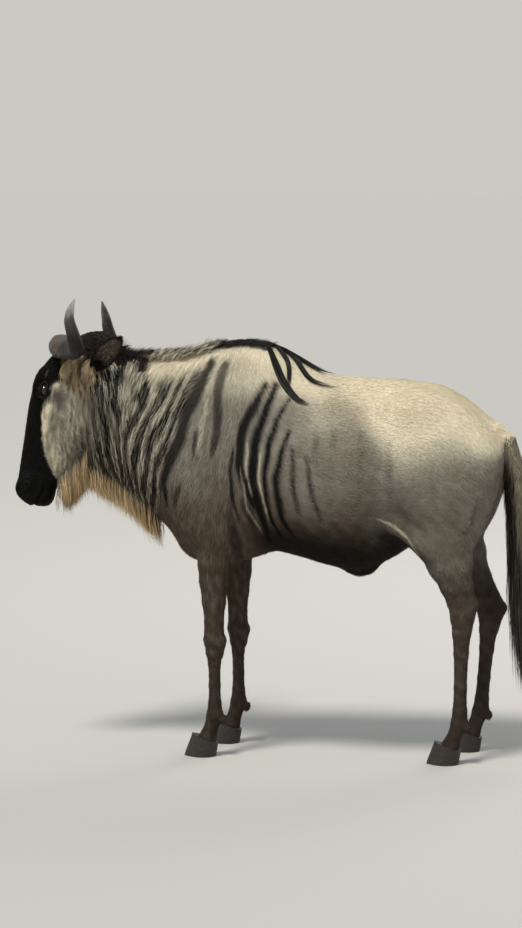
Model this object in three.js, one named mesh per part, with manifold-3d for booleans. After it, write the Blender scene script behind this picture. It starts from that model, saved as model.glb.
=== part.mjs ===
// A blue wildebeest of the white-bearded kind, a grown bull that stands and looks ahead, at life size.
// Millimetres. The bull faces -X, its left side is at -Y, and +Z is up from the floor under its hooves.
// The shape is one field, negative inside the body. Each named piece is a mesh drawn out to where the
// field is zero, and is then cut clear of its neighbours by a thin gap. Locks of hair follow the same field.
import * as THREE from "three";
import Module from "manifold-3d";
import { mergeVertices } from "three/addons/utils/BufferGeometryUtils.js";

const wasm = await Module();
wasm.setup();

// Driving sizes
const GAP = 0.35;
const WELD = 0.004;
const NECK_CUT = { x: -225, z: 950, lean: 0.1 };
const HEAD_PLACE = new THREE.Vector3(-551, 0, 1257);
const HEAD_DROP = 72.8;
const HEAD_ROLL = -4.5;
const EYE = { s: 157, side: 68, v: 77, radius: 20 };
const HOOF_CLEFT = 2.5;
const SIDES = { trunk: 24, head: 24, leg: 12, horn: 10, dock: 8, eye: [12, 8], nostril: [10, 6] };
const SEED = 7;

// Sections of the trunk and neck, front to back. "widest" is the height where the section is widest, and
// the powers shape it above and below that height: 2 is an ellipse, less is a ridge and more is a box.
const TRUNK = [
  { x: -575, top: 1215, bottom: 892, widest: 1060, half: 64, above: 2.0, below: 2.0 },
  { x: -500, top: 1230, bottom: 862, widest: 1055, half: 84, above: 1.8, below: 1.9 },
  { x: -432, top: 1237, bottom: 822, widest: 1040, half: 98, above: 1.7, below: 1.8 },
  { x: -354, top: 1238, bottom: 760, widest: 1005, half: 118, above: 1.6, below: 1.8 },
  { x: -274, top: 1243, bottom: 683, widest: 965, half: 148, above: 1.5, below: 1.9 },
  { x: -209, top: 1256, bottom: 622, widest: 925, half: 176, above: 1.4, below: 2.1 },
  { x: -130, top: 1286, bottom: 600, widest: 890, half: 196, above: 1.35, below: 2.2 },
  { x: -50, top: 1294, bottom: 620, widest: 865, half: 210, above: 1.35, below: 2.2 },
  { x: 40, top: 1279, bottom: 637, widest: 850, half: 226, above: 1.45, below: 2.2 },
  { x: 123, top: 1237, bottom: 623, widest: 842, half: 242, above: 1.7, below: 2.2 },
  { x: 219, top: 1194, bottom: 597, widest: 840, half: 252, above: 2.0, below: 2.2 },
  { x: 315, top: 1188, bottom: 583, widest: 848, half: 248, above: 2.1, below: 2.1 },
  { x: 407, top: 1185, bottom: 617, widest: 880, half: 222, above: 2.2, below: 2.0 },
  { x: 500, top: 1177, bottom: 680, widest: 930, half: 200, above: 2.2, below: 2.0 },
  { x: 570, top: 1160, bottom: 735, widest: 950, half: 190, above: 2.1, below: 2.0 },
  { x: 640, top: 1117, bottom: 790, widest: 950, half: 172, above: 2.0, below: 2.0 },
  { x: 700, top: 1072, bottom: 845, widest: 950, half: 146, above: 2.0, below: 2.0 },
  { x: 745, top: 1030, bottom: 880, widest: 945, half: 110, above: 2.0, below: 2.0 },
];
const TRUNK_ENDS = { front: -572, frontRound: 60, rear: 758, rearRound: 125 };

// Muscle and bone that stand out of the trunk, on both sides: centre, radii and lean in degrees, where a
// positive lean moves the top of the form towards the tail.
const FORMS = [
  { name: "shoulder blade", at: [-128, 100, 1010], radii: [112, 66, 185], lean: 14, blend: 100 },
  { name: "upper arm", at: [-160, 122, 800], radii: [100, 74, 125], lean: -16, blend: 70 },
  { name: "elbow", at: [-78, 130, 725], radii: [44, 44, 66], lean: 8, blend: 40 },
  { name: "brisket", at: [-212, 44, 706], radii: [50, 58, 84], lean: -26, blend: 50 },
  { name: "breastbone", at: [-110, 0, 664], radii: [130, 92, 52], lean: 0, blend: 60 },
  { name: "haunch", at: [585, 118, 915], radii: [138, 78, 205], lean: -6, blend: 90 },
  { name: "buttock", at: [684, 86, 905], radii: [74, 68, 140], lean: 4, blend: 60 },
  { name: "thigh", at: [592, 122, 790], radii: [112, 70, 125], lean: -8, blend: 70 },
  { name: "hip bone", at: [500, 132, 1105], radii: [60, 44, 44], lean: 0, blend: 70 },
  { name: "flank fold", at: [452, 160, 728], radii: [20, 20, 112], lean: -56, blend: 44 },
];
const SHEATH = { at: [316, 0, 594], radii: [40, 20, 24], blend: 60 };

// Sections of the head along its own axis, from the poll towards the lips: how far it reaches to the
// bridge of the nose (dorsal) and to the jaw (ventral), where it is widest, and half its width.
const HEAD = [
  { s: -70, dorsal: 20, ventral: -80, widest: -20, half: 58, above: 2.0, below: 2.0 },
  { s: -20, dorsal: 48, ventral: -92, widest: -8, half: 70, above: 2.2, below: 1.9 },
  { s: 20, dorsal: 80, ventral: -98, widest: 10, half: 76, above: 2.3, below: 1.9 },
  { s: 60, dorsal: 106, ventral: -104, widest: 30, half: 80, above: 2.4, below: 1.8 },
  { s: 112, dorsal: 124, ventral: -114, widest: 42, half: 82, above: 2.4, below: 1.7 },
  { s: 160, dorsal: 131, ventral: -122, widest: 44, half: 80, above: 2.2, below: 1.7 },
  { s: 210, dorsal: 129, ventral: -127, widest: 38, half: 73, above: 2.0, below: 1.7 },
  { s: 275, dorsal: 120, ventral: -122, widest: 28, half: 64, above: 1.9, below: 1.7 },
  { s: 340, dorsal: 109, ventral: -94, widest: 24, half: 57, above: 1.9, below: 1.8 },
  { s: 403, dorsal: 99, ventral: -64, widest: 24, half: 54, above: 2.0, below: 2.0 },
  { s: 440, dorsal: 92, ventral: -38, widest: 28, half: 57, above: 2.2, below: 2.2 },
  { s: 468, dorsal: 87, ventral: -30, widest: 26, half: 60, above: 2.4, below: 2.3 },
  { s: 494, dorsal: 78, ventral: -28, widest: 22, half: 59, above: 2.5, below: 2.4 },
  { s: 516, dorsal: 62, ventral: -24, widest: 18, half: 50, above: 2.4, below: 2.3 },
];
const HEAD_ENDS = { back: -58, backRound: 62, lips: 516, lipsRound: 26 };
const HEAD_FORMS = [
  { name: "brow", at: [140, 58, 102], radii: [48, 23, 19], blend: 26 },
  { name: "cheek bone", at: [200, 62, 34], radii: [86, 17, 17], blend: 22 },
  { name: "jaw muscle", at: [196, 44, -48], radii: [100, 30, 62], blend: 34 },
  { name: "nostril pad", at: [466, 44, 50], radii: [40, 23, 32], blend: 16 },
  { name: "upper lip", at: [492, 34, 28], radii: [24, 28, 24], blend: 14 },
  { name: "chin", at: [476, 16, -20], radii: [32, 24, 16], blend: 16 },
];
const NOSTRIL = { at: [462, 64, 54], radii: [25, 13, 8], turn: 28 };
const MOUTH = {
  corner: [430, -6], front: [526, 14], sag: 9, depth: 16, open: 2.2, outer: 90, rows: 7, tip: 30,
};
// Lids: half length and height of the almond, its tilt, how proud it stands of the eye, and its thickness
const LID = {
  long: 25, above: 14, below: 12, tilt: 0.16, proud: 3.5, flat: 340, thickAbove: 5.2, thickBelow: 4,
};
const LID_RING = { count: 14, sides: 4 };

// Leg joints: x, y, z. The far, right legs stand a little further back, the hind one more.
const LEGS = {
  fore_left: { side: -1, joints: { top: [-150, 116, 835], elbow: [-127, 126, 690], knee: [-127, 118, 368],
    fetlock: [-126, 113, 130], coronet: [-150, 111, 55] } },
  fore_right: { side: 1, joints: { top: [-136, 116, 835], elbow: [-100, 126, 690], knee: [-95, 118, 368],
    fetlock: [-92, 113, 130], coronet: [-116, 111, 55] } },
  hind_left: { side: -1, joints: { top: [604, 118, 850], stifle: [592, 132, 705], hock: [646, 115, 466],
    heel: [680, 112, 500], fetlock: [640, 110, 128], coronet: [611, 109, 55] } },
  hind_right: { side: 1, joints: { top: [612, 118, 850], stifle: [584, 132, 710], hock: [708, 115, 438],
    heel: [746, 112, 458], fetlock: [682, 110, 128], coronet: [653, 109, 55] } },
};
// Each bone: its two joints and its sections, as share of its length, radius front to back, radius sideways.
const FORE_BONES = [
  ["top", "elbow", [[0, 66, 46], [1, 55, 45]]],
  ["elbow", "knee",
    [[0, 55, 45], [0.24, 50, 42], [0.42, 46, 38], [0.62, 38, 33], [0.82, 31, 29], [1, 34, 32]]],
  ["knee", "fetlock",
    [[0, 34, 32], [0.16, 27, 26], [0.3, 21, 19], [0.6, 19, 17], [0.84, 21, 21], [1, 27, 26]]],
  ["fetlock", "coronet", [[0, 27, 26], [0.5, 22, 25], [1, 30, 31]]],
];
const HIND_BONES = [
  ["top", "stifle", [[0, 116, 60], [1, 96, 54]]],
  ["stifle", "hock", [[0, 96, 54], [0.3, 74, 46], [0.58, 50, 35], [0.8, 38, 29], [1, 35, 31]]],
  ["hock", "fetlock",
    [[0, 35, 31], [0.16, 30, 26], [0.36, 24, 20], [0.66, 21, 18], [0.88, 23, 21], [1, 28, 26]]],
  ["fetlock", "coronet", [[0, 28, 26], [0.5, 22, 25], [1, 30, 31]]],
];
// Each is placed from its leg's joint: forward, down and its two radii.
const HEEL_STRING = { top: [22, -10, 30, 20], end: [15, 14], base: [8, -34, 22, 20], blends: [16, 14] };
const KNEE_PAD = { top: [18, -4, 20, 22], base: [12, -44, 14, 16], blend: 14 };
const HOOF = {
  height: 62, slope: 0.34, toe: 62, heel: 42, half: 31, flare: 1.14, neck: 0.98, level: 56, hidden: 16,
};
const CLAW = { sides: 14, back: 14, lean: 15, long: 0.86, toeNarrow: 0.5, heelNarrow: 0.12, sole: 0.975 };
const DEWCLAW = { back: 27, side: 15, drop: 12, radii: [11, 9, 15], blend: 5 };

// Tail: the middle of the dock and its radius, from the root down.
const DOCK = [
  { x: 690, z: 1030, r: 30 },
  { x: 734, z: 1022, r: 29 },
  { x: 770, z: 992, r: 28 },
  { x: 790, z: 935, r: 26 },
  { x: 798, z: 860, r: 23 },
  { x: 806, z: 780, r: 20 },
  { x: 817, z: 700, r: 16 },
  { x: 829, z: 600, r: 13 },
  { x: 835, z: 500, r: 8 },
];
const DOCK_END = DOCK[DOCK.length - 1];
const TASSEL_FOOT = { x: 846, z: 214 };

// Horns, in the head's frame: distance from the poll, sideways, up from the axis, and radius.
const HORN = [
  [26, 40, 52, 38],
  [16, 44, 70, 39],
  [10, 88, 68, 36],
  [8, 138, 42, 32],
  [4, 188, 4, 28],
  [-8, 232, -15, 25],
  [-42, 258, -1, 21],
  [-84, 260, 25, 16.5],
  [-120, 232, 39, 10.5],
  [-148, 190, 46, 2.2],
];
const EAR = { root: [34, 62, -52], half: 41, wall: 5, curlRoot: 1.9, curlTip: 0.55, sag: 14 };
const EAR_LEAF = { from: 0.17, to: 0.985, rows: 9, cols: 7, open: [-0.25, 0.95, -0.2] };
const EAR_TIPS = { left: [-82, 198, -130], right: [14, 222, -100] };

// Helpers
const mix = (a, b, t) => a + (b - a) * t;
const clamp = (t, low, high) => Math.min(high, Math.max(low, t));
const radians = THREE.MathUtils.degToRad;
const BOTH = [-1, 1];

function seededRandom(seed) {
  let state = seed >>> 0;
  return () => {
    state = (state + 0x6d2b79f5) >>> 0;
    let t = Math.imul(state ^ (state >>> 15), 1 | state);
    t = (t + Math.imul(t ^ (t >>> 7), 61 | t)) ^ t;
    return ((t ^ (t >>> 14)) >>> 0) / 4294967296;
  };
}

// A smooth curve through a table's rows that never overshoots them.
function profile(rows, at, value) {
  const xs = rows.map((row) => row[at]);
  const ys = rows.map((row) => row[value]);
  const slopes = xs.slice(1).map((x, i) => (ys[i + 1] - ys[i]) / (x - xs[i]));
  const tangents = xs.map((_, i) => {
    if (i === 0) return slopes[0];
    if (i === slopes.length) return slopes[i - 1];
    const [a, b] = [slopes[i - 1], slopes[i]];
    return a * b <= 0 ? 0 : (2 * a * b) / (a + b);
  });
  return (x) => {
    if (x <= xs[0]) return ys[0];
    if (x >= xs[xs.length - 1]) return ys[ys.length - 1];
    let i = 0;
    while (x > xs[i + 1]) i += 1;
    const width = xs[i + 1] - xs[i];
    const t = (x - xs[i]) / width;
    const [t2, t3] = [t * t, t * t * t];
    return (2 * t3 - 3 * t2 + 1) * ys[i] + (t3 - 2 * t2 + t) * width * tangents[i] +
      (3 * t2 - 2 * t3) * ys[i + 1] + (t3 - t2) * width * tangents[i + 1];
  };
}

function joinSmooth(a, b, blend) {
  const h = Math.max(blend - Math.abs(a - b), 0) / blend;
  return Math.min(a, b) - (h * h * blend) / 4;
}

function meetSmooth(a, b, blend) {
  return -joinSmooth(-a, -b, blend);
}

function sectionField(side, up, reachUp, reachDown, half, above, below) {
  const power = up > 0 ? above : below;
  const reach = up > 0 ? reachUp : reachDown;
  const distance = Math.hypot(side, up);
  if (distance < 1e-6) return -Math.min(half, reach);
  const [wide, high] = [Math.abs(side) / half, Math.abs(up) / reach];
  const share = Math.pow(Math.pow(wide, power) + Math.pow(high, power), 1 / power);
  return distance * (1 - 1 / share);
}

function ellipsoidField(dx, dy, dz, radii, lean = 0) {
  const angle = radians(lean);
  const x = dx * Math.cos(angle) - dz * Math.sin(angle);
  const z = dx * Math.sin(angle) + dz * Math.cos(angle);
  const k0 = Math.hypot(x / radii[0], dy / radii[1], z / radii[2]);
  const k1 = Math.hypot(x / radii[0] ** 2, dy / radii[1] ** 2, z / radii[2] ** 2);
  return k1 < 1e-9 ? -Math.min(...radii) : (k0 * (k0 - 1)) / k1;
}

// Trunk and neck
const trunkAt = Object.fromEntries(
  ["top", "bottom", "widest", "half", "above", "below"].map((key) => [key, profile(TRUNK, "x", key)]),
);

function trunkField(x, y, z) {
  const widest = trunkAt.widest(x);
  let d = sectionField(y, z - widest, trunkAt.top(x) - widest, widest - trunkAt.bottom(x),
    trunkAt.half(x), trunkAt.above(x), trunkAt.below(x));
  d = meetSmooth(d, x - TRUNK_ENDS.rear, TRUNK_ENDS.rearRound);
  d = meetSmooth(d, TRUNK_ENDS.front - x, TRUNK_ENDS.frontRound);
  for (const form of FORMS) {
    const [cx, cy, cz] = form.at;
    d = joinSmooth(d, ellipsoidField(x - cx, Math.abs(y) - cy, z - cz, form.radii, form.lean), form.blend);
  }
  const [sx, sy, sz] = SHEATH.at;
  return joinSmooth(d, ellipsoidField(x - sx, y - sy, z - sz, SHEATH.radii), SHEATH.blend);
}

// Head, in its own frame: -X towards the lips and +Z out of the bridge of the nose
const headAt = Object.fromEntries(
  ["dorsal", "ventral", "widest", "half", "above", "below"].map((key) => [key, profile(HEAD, "s", key)]),
);

function headField(x, y, z) {
  const s = -x;
  const widest = headAt.widest(s);
  let d = sectionField(y, z - widest, headAt.dorsal(s) - widest, widest - headAt.ventral(s),
    headAt.half(s), headAt.above(s), headAt.below(s));
  d = meetSmooth(d, s - HEAD_ENDS.lips, HEAD_ENDS.lipsRound);
  d = meetSmooth(d, HEAD_ENDS.back - s, HEAD_ENDS.backRound);
  for (const form of HEAD_FORMS) {
    const [cs, cy, cv] = form.at;
    d = joinSmooth(d, ellipsoidField(s - cs, Math.abs(y) - cy, z - cv, form.radii), form.blend);
  }
  return d;
}

const headMatrix = new THREE.Matrix4().compose(
  HEAD_PLACE,
  new THREE.Quaternion().setFromEuler(new THREE.Euler(radians(HEAD_ROLL), radians(-HEAD_DROP), 0)),
  new THREE.Vector3(1, 1, 1),
);
const headInverse = headMatrix.clone().invert();

function headFieldInPlace(x, y, z) {
  const p = new THREE.Vector3(x, y, z).applyMatrix4(headInverse);
  return headField(p.x, p.y, p.z);
}

// Legs
function boneRows(leg) {
  const bones = "knee" in leg.joints ? FORE_BONES : HIND_BONES;
  return bones.flatMap(([from, to, sections], index) =>
    sections.slice(index ? 1 : 0).map(([share, r, w]) => {
      const [a, b] = [leg.joints[from], leg.joints[to]];
      const place = a.map((value, i) => mix(value, b[i], share));
      return { at: [place[0], place[1] * leg.side, place[2]], r, w };
    }),
  );
}

function coneField(p, a, b) {
  const axis = b.at.map((value, i) => value - a.at[i]);
  const from = p.map((value, i) => value - a.at[i]);
  const t = clamp((axis[0] * from[0] + axis[1] * from[1] + axis[2] * from[2]) /
    (axis[0] ** 2 + axis[1] ** 2 + axis[2] ** 2), 0, 1);
  const r = mix(a.r, b.r, t);
  const w = mix(a.w, b.w, t);
  const away = from.map((value, i) => value - axis[i] * t);
  return (Math.hypot(away[0], (away[1] * r) / w, away[2]) - r) * Math.min(1, w / r);
}

function legField(leg, x, y, z) {
  const p = [x, y, z];
  let d = Infinity;
  for (let i = 1; i < leg.rows.length; i += 1) d = Math.min(d, coneField(p, leg.rows[i - 1], leg.rows[i]));
  const inLeg = ([px, py, pz]) => [px, py * leg.side, pz];
  const beside = ([px, py, pz], [forward, down, r, w]) => ({ at: [px + forward, py, pz + down], r, w });
  if (leg.joints.heel) {
    const [r, w] = HEEL_STRING.end;
    const heel = { at: inLeg(leg.joints.heel), r, w };
    const calf = beside(leg.rows[2].at, HEEL_STRING.top);
    const base = beside(inLeg(leg.joints.hock), HEEL_STRING.base);
    d = joinSmooth(d, coneField(p, calf, heel), HEEL_STRING.blends[0]);
    d = joinSmooth(d, coneField(p, heel, base), HEEL_STRING.blends[1]);
  } else {
    const knee = inLeg(leg.joints.knee);
    d = joinSmooth(d, coneField(p, beside(knee, KNEE_PAD.top), beside(knee, KNEE_PAD.base)), KNEE_PAD.blend);
  }
  const fetlock = leg.joints.fetlock;
  for (const s of BOTH) {
    const dewclaw = ellipsoidField(x - fetlock[0] - DEWCLAW.back,
      y - fetlock[1] * leg.side - s * DEWCLAW.side, z - fetlock[2] + DEWCLAW.drop, DEWCLAW.radii);
    d = joinSmooth(d, dewclaw, DEWCLAW.blend);
  }
  return d;
}

for (const leg of Object.values(LEGS)) leg.rows = boneRows(leg);

// Meshes. A ring mesh is a row of closed rings of points with one point at each end.
function ringMesh(rings, first, last) {
  const count = rings[0].length;
  const points = [first, ...rings.flat(), last];
  const index = [];
  const at = (ring, i) => 1 + ring * count + (i % count);
  for (let i = 0; i < count; i += 1) {
    index.push(0, at(0, i + 1), at(0, i));
    index.push(points.length - 1, at(rings.length - 1, i), at(rings.length - 1, i + 1));
    for (let ring = 0; ring + 1 < rings.length; ring += 1) {
      const [a, b, c, d] = [at(ring, i), at(ring, i + 1), at(ring + 1, i + 1), at(ring + 1, i)];
      const length = (from, to) => Math.hypot(...plus(points[from], points[to], -1));
      index.push(...(length(a, c) < length(b, d) ? [a, b, c, a, c, d] : [a, b, d, b, c, d]));
    }
  }
  return { points, index };
}

function solidOf({ points, index }) {
  const made = new wasm.Manifold(new wasm.Mesh({
    numProp: 3,
    vertProperties: new Float32Array(points.flat()),
    triVerts: new Uint32Array(index),
  }));
  if (made.volume() > 0) return made;
  const turned = index.map((_, i) => index[i - (i % 3) + [0, 2, 1][i % 3]]);
  return solidOf({ points, index: turned });
}

function solidOfGeometry(geometry) {
  const bare = geometry.index ? geometry.toNonIndexed() : geometry.clone();
  for (const name of Object.keys(bare.attributes)) if (name !== "position") bare.deleteAttribute(name);
  const merged = mergeVertices(bare, 1e-3);
  return new wasm.Manifold(new wasm.Mesh({
    numProp: 3,
    vertProperties: merged.attributes.position.array,
    triVerts: new Uint32Array(merged.index.array),
  }));
}

function ellipsoidSolid(at, radii, turn, across, down) {
  const geometry = new THREE.SphereGeometry(1, across, down).scale(...radii).rotateY(radians(turn));
  return solidOfGeometry(geometry.translate(...at));
}

// How far rings reach from the middle of each part, and how finely a walk looks for the surface
const REACH = { trunk: 460, trunkEnd: 300, head: 220, headEnd: 120, leg: 190 };
const WALK = { steps: 60, halvings: 18 };

// Walks out from a centre along a direction to where the field turns positive.
function reachOut(field, centre, direction, furthest, grow = 0) {
  const at = (t) => field(...centre.map((value, i) => value + direction[i] * t)) - grow;
  const step = furthest / WALK.steps;
  let far = step;
  while (far < furthest && at(far) < 0) far += step;
  let near = far - step;
  for (let i = 0; i < WALK.halvings; i += 1) {
    const middle = (near + far) / 2;
    if (at(middle) < 0) near = middle;
    else far = middle;
  }
  return centre.map((value, i) => value + direction[i] * near);
}

// Rings of points on the field's surface, round a row of centres. across and up span each ring's plane.
function drawOut(field, centres, across, up, sides, furthest, grow = 0, turn = 0) {
  return centres.map((centre) => Array.from({ length: sides }, (_, i) => {
    const angle = turn + (2 * Math.PI * i) / sides;
    const direction = across.map((value, k) => value * Math.cos(angle) + up[k] * Math.sin(angle));
    return reachOut(field, centre, direction, furthest, grow);
  }));
}

// Rings that close an end as a dome: each leans further from the section's plane towards the end.
const DOME = [20, 40, 58, 75];

function domeRings(field, centre, ahead, across, up, sides, furthest, grow, turn) {
  return DOME.map((lean) => Array.from({ length: sides }, (_, i) => {
    const angle = turn + (2 * Math.PI * i) / sides;
    const flat = across.map((value, k) => value * Math.cos(angle) + up[k] * Math.sin(angle));
    const [flatShare, aheadShare] = [Math.cos(radians(lean)), Math.sin(radians(lean))];
    const direction = flat.map((value, k) => value * flatShare + ahead[k] * aheadShare);
    return reachOut(field, centre, direction, furthest, grow);
  }));
}

function trunkSolid(xs, sides, grow = 0) {
  const [across, up] = [[0, 1, 0], [0, 0, 1]];
  const centres = xs.map((x) => [x, 0, trunkAt.widest(x)]);
  const rings = drawOut(trunkField, centres, across, up, sides, REACH.trunk, grow, Math.PI / 2);
  const first = reachOut(trunkField, centres[0], [-1, 0, 0], REACH.trunkEnd, grow);
  const end = centres[centres.length - 1];
  const last = reachOut(trunkField, end, [1, 0, 0], REACH.trunkEnd, grow);
  const dome = domeRings(trunkField, end, [1, 0, 0], across, up, sides, REACH.trunk, grow, Math.PI / 2);
  return solidOf(ringMesh([...rings, ...dome], first, last));
}

function headSolid(distances, sides, grow = 0) {
  const centres = distances.map((s) => [-s, 0, headAt.widest(s)]);
  const rings = drawOut(headField, centres, [0, 1, 0], [0, 0, 1], sides, REACH.head, grow, Math.PI / 2);
  const first = reachOut(headField, centres[0], [1, 0, 0], REACH.headEnd, grow);
  const last = reachOut(headField, centres[centres.length - 1], [-1, 0, 0], REACH.headEnd, grow);
  return solidOf(ringMesh(rings, first, last));
}

// Rings along a leg lie square to a smoothed run of its joints.
function legSolid(leg, heights, sides) {
  const middleAt = (z) => {
    const rows = leg.rows;
    let i = 0;
    while (i + 2 < rows.length && z < rows[i + 1].at[2]) i += 1;
    const t = clamp((rows[i].at[2] - z) / (rows[i].at[2] - rows[i + 1].at[2]), 0, 1);
    return [mix(rows[i].at[0], rows[i + 1].at[0], t), mix(rows[i].at[1], rows[i + 1].at[1], t), z];
  };
  const field = (x, y, z) => legField(leg, x, y, z);
  const centres = heights.map(middleAt);
  const rings = drawOut(field, centres, [1, 0, 0], [0, 1, 0], sides, REACH.leg);
  const first = [...centres[0].slice(0, 2), heights[0] + 6];
  const last = [...centres[centres.length - 1].slice(0, 2), heights[heights.length - 1] - 6];
  return solidOf(ringMesh(rings, first, last));
}

// A round or flattened tube along points, each {at, r}, closed at both ends.
function tubeSolid(rows, sides, endReach = 1) {
  const points = rows.map((row) => new THREE.Vector3(...row.at));
  const end = points.length - 1;
  const tangent = (i) => points[Math.min(i + 1, end)].clone().sub(points[Math.max(i - 1, 0)]).normalize();
  let across = new THREE.Vector3(0, 1, 0);
  const rings = rows.map((row, i) => {
    const t = tangent(i);
    across = across.clone().addScaledVector(t, -across.dot(t));
    if (across.length() < 0.1) across = new THREE.Vector3(1, 0, 0).addScaledVector(t, -t.x);
    across.normalize();
    const up = t.clone().cross(across);
    return Array.from({ length: sides }, (_, k) => {
      const angle = (2 * Math.PI * k) / sides;
      return points[i].clone().addScaledVector(across, row.r * Math.cos(angle))
        .addScaledVector(up, row.r * Math.sin(angle)).toArray();
    });
  });
  const first = points[0].clone().addScaledVector(tangent(0), -endReach).toArray();
  const last = points[end].clone().addScaledVector(tangent(end), endReach).toArray();
  return solidOf(ringMesh(rings, first, last));
}

function spreadRows(rows, keys, count) {
  const indexed = rows.map((row, i) => ({ ...row, i }));
  const curves = keys.map((key) => profile(indexed, "i", key));
  return Array.from({ length: count }, (_, n) => {
    const t = (n / (count - 1)) * (rows.length - 1);
    return Object.fromEntries(keys.map((key, k) => [key, curves[k](t)]));
  });
}

// Keeps the largest closed surface of a solid.
function bodyOf(solid) {
  const pieces = solid.decompose();
  return pieces.reduce((best, piece) => (piece.volume() > best.volume() ? piece : best));
}

// The largest closed surface, with corners that all but touch welded into one
function largest(solid) {
  const data = bodyOf(solid).getMesh();
  const corner = (i) => Array.from({ length: 3 }, (_, k) => (
    Math.round(data.vertProperties[i * data.numProp + k] / WELD) * WELD));
  const places = new Map();
  const points = [];
  const seat = Array.from({ length: data.numVert }, (_, i) => {
    const at = corner(i);
    const key = at.map((value) => Math.round(value / WELD)).join();
    if (!places.has(key)) places.set(key, points.push(at) - 1);
    return places.get(key);
  });
  const index = [];
  for (let i = 0; i < data.triVerts.length; i += 3) {
    const [a, b, c] = [0, 1, 2].map((k) => seat[data.triVerts[i + k]]);
    if (a !== b && b !== c && c !== a) index.push(a, b, c);
  }
  return bodyOf(solidOf({ points, index }));
}

// Joins solids one after another.
function joined(solids) {
  return solids.reduce((whole, piece) => whole.add(piece));
}

// Locks of hair. Each is a flat, tapered ribbon that leaves the skin, bends to its lie and follows it.
function gradient(field, p) {
  const e = 1.5;
  const g = [0, 1, 2].map((k) => {
    const [a, b] = [[...p], [...p]];
    a[k] -= e;
    b[k] += e;
    return field(...b) - field(...a);
  });
  const length = Math.hypot(...g) || 1;
  return g.map((value) => value / length);
}

const dot = (a, b) => a[0] * b[0] + a[1] * b[1] + a[2] * b[2];
const plus = (a, b, t = 1) => [a[0] + b[0] * t, a[1] + b[1] * t, a[2] + b[2] * t];
const unit = (a) => plus([0, 0, 0], a, 1 / (Math.hypot(...a) || 1));
const cross = (a, b) => [a[1] * b[2] - a[2] * b[1], a[2] * b[0] - a[0] * b[2], a[0] * b[1] - a[1] * b[0]];

// The spot on the surface nearest to a point, by a few steps along the field's gradient.
function onSkin(field, p) {
  let at = p;
  for (let i = 0; i < 8; i += 1) at = plus(at, gradient(field, at), -field(...at) * 0.8);
  return at;
}

// A lock runs through its stops, the first of them on the skin, and keeps clear of the skin beyond its root.
function lock(field, stops, shape) {
  const { width, thick = 7, clear = 5, sink = 12, steps = 5, facing = null, hangs = false } = shape;
  const start = onSkin(field, stops[0]);
  const out = gradient(field, start);
  const route = [start, ...stops.slice(1)].map((stop) => new THREE.Vector3(...stop));
  const curve = new THREE.CatmullRomCurve3(route);
  const path = [plus(start, out, -sink)];
  for (let i = 0; i <= steps; i += 1) {
    let at = curve.getPoint(i / steps).toArray();
    const wanted = clear * Math.min(1, 0.3 + i);
    for (let k = 0; k < 3; k += 1) {
      const short = wanted - field(...at);
      if (short > 0) at = plus(at, gradient(field, at), short);
    }
    path.push(at);
  }
  // Each ring's own frame; the middle ring tells which way the lock's back faces
  let side = null;
  const frames = path.slice(0, -1).map((at, i) => {
    const ahead = unit(plus(path[i + 1], path[Math.max(i - 1, 0)], -1));
    const outward = facing && (hangs || i < 2) ? facing : gradient(field, i < 2 ? start : at);
    const across = unit(cross(ahead, outward));
    side = side && dot(across, side) < 0 ? plus([0, 0, 0], across, -1) : across;
    const back = unit(cross(side, ahead));
    return { at, side, back, facesOut: dot(back, outward) > 0 };
  });
  const sign = frames[Math.floor(frames.length / 2)].facesOut ? 1 : -1;
  const rings = frames.map((frame, i) => {
    const share = i / (path.length - 1);
    const half = (width / 2) * (1 - share ** 2.4) * mix(0.4, 1, Math.min(1, i / 2));
    return [
      plus(frame.at, frame.side, half),
      plus(frame.at, frame.back, sign * thick * mix(1, 0.5, share)),
      plus(frame.at, frame.side, -half),
    ];
  });
  const first = plus(rings[0][0], plus(rings[0][1], rings[0][2])).map((value) => value / 3);
  return solidOf(ringMesh(rings, first, path[path.length - 1]));
}

const random = seededRandom(SEED);
const vary = (value, share) => value * (1 + share * (2 * random() - 1));

// Even places from one end of a range to the other, each moved a little.
function spread(from, to, count) {
  const pitch = (to - from) / count;
  return Array.from({ length: count }, (_, i) => from + pitch * (i + 0.5 + 0.3 * (random() - 0.5)));
}

// Short locks that stand on the crest, lean back and fall to either side
function crestLocks(field, from, to, count, rise) {
  return BOTH.flatMap((side) => spread(from, to, count).map((x, i) => {
    const top = trunkAt.top(x);
    const reach = vary(1, 0.2);
    return lock(field, [
      [x, side * 5, top],
      [x + 10 * reach, side * 9, top + rise],
      [x + 24 * reach, side * 24, top + rise * 0.6],
      [x + 38 * reach, side * 44, top - 22],
      [x + 48 * reach, side * 62, top - 66],
    ], { width: vary(44, 0.12), thick: 6, steps: 4, clear: i % 2 ? 4 : 12, facing: [0, side, 0.3] });
  }));
}

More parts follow.
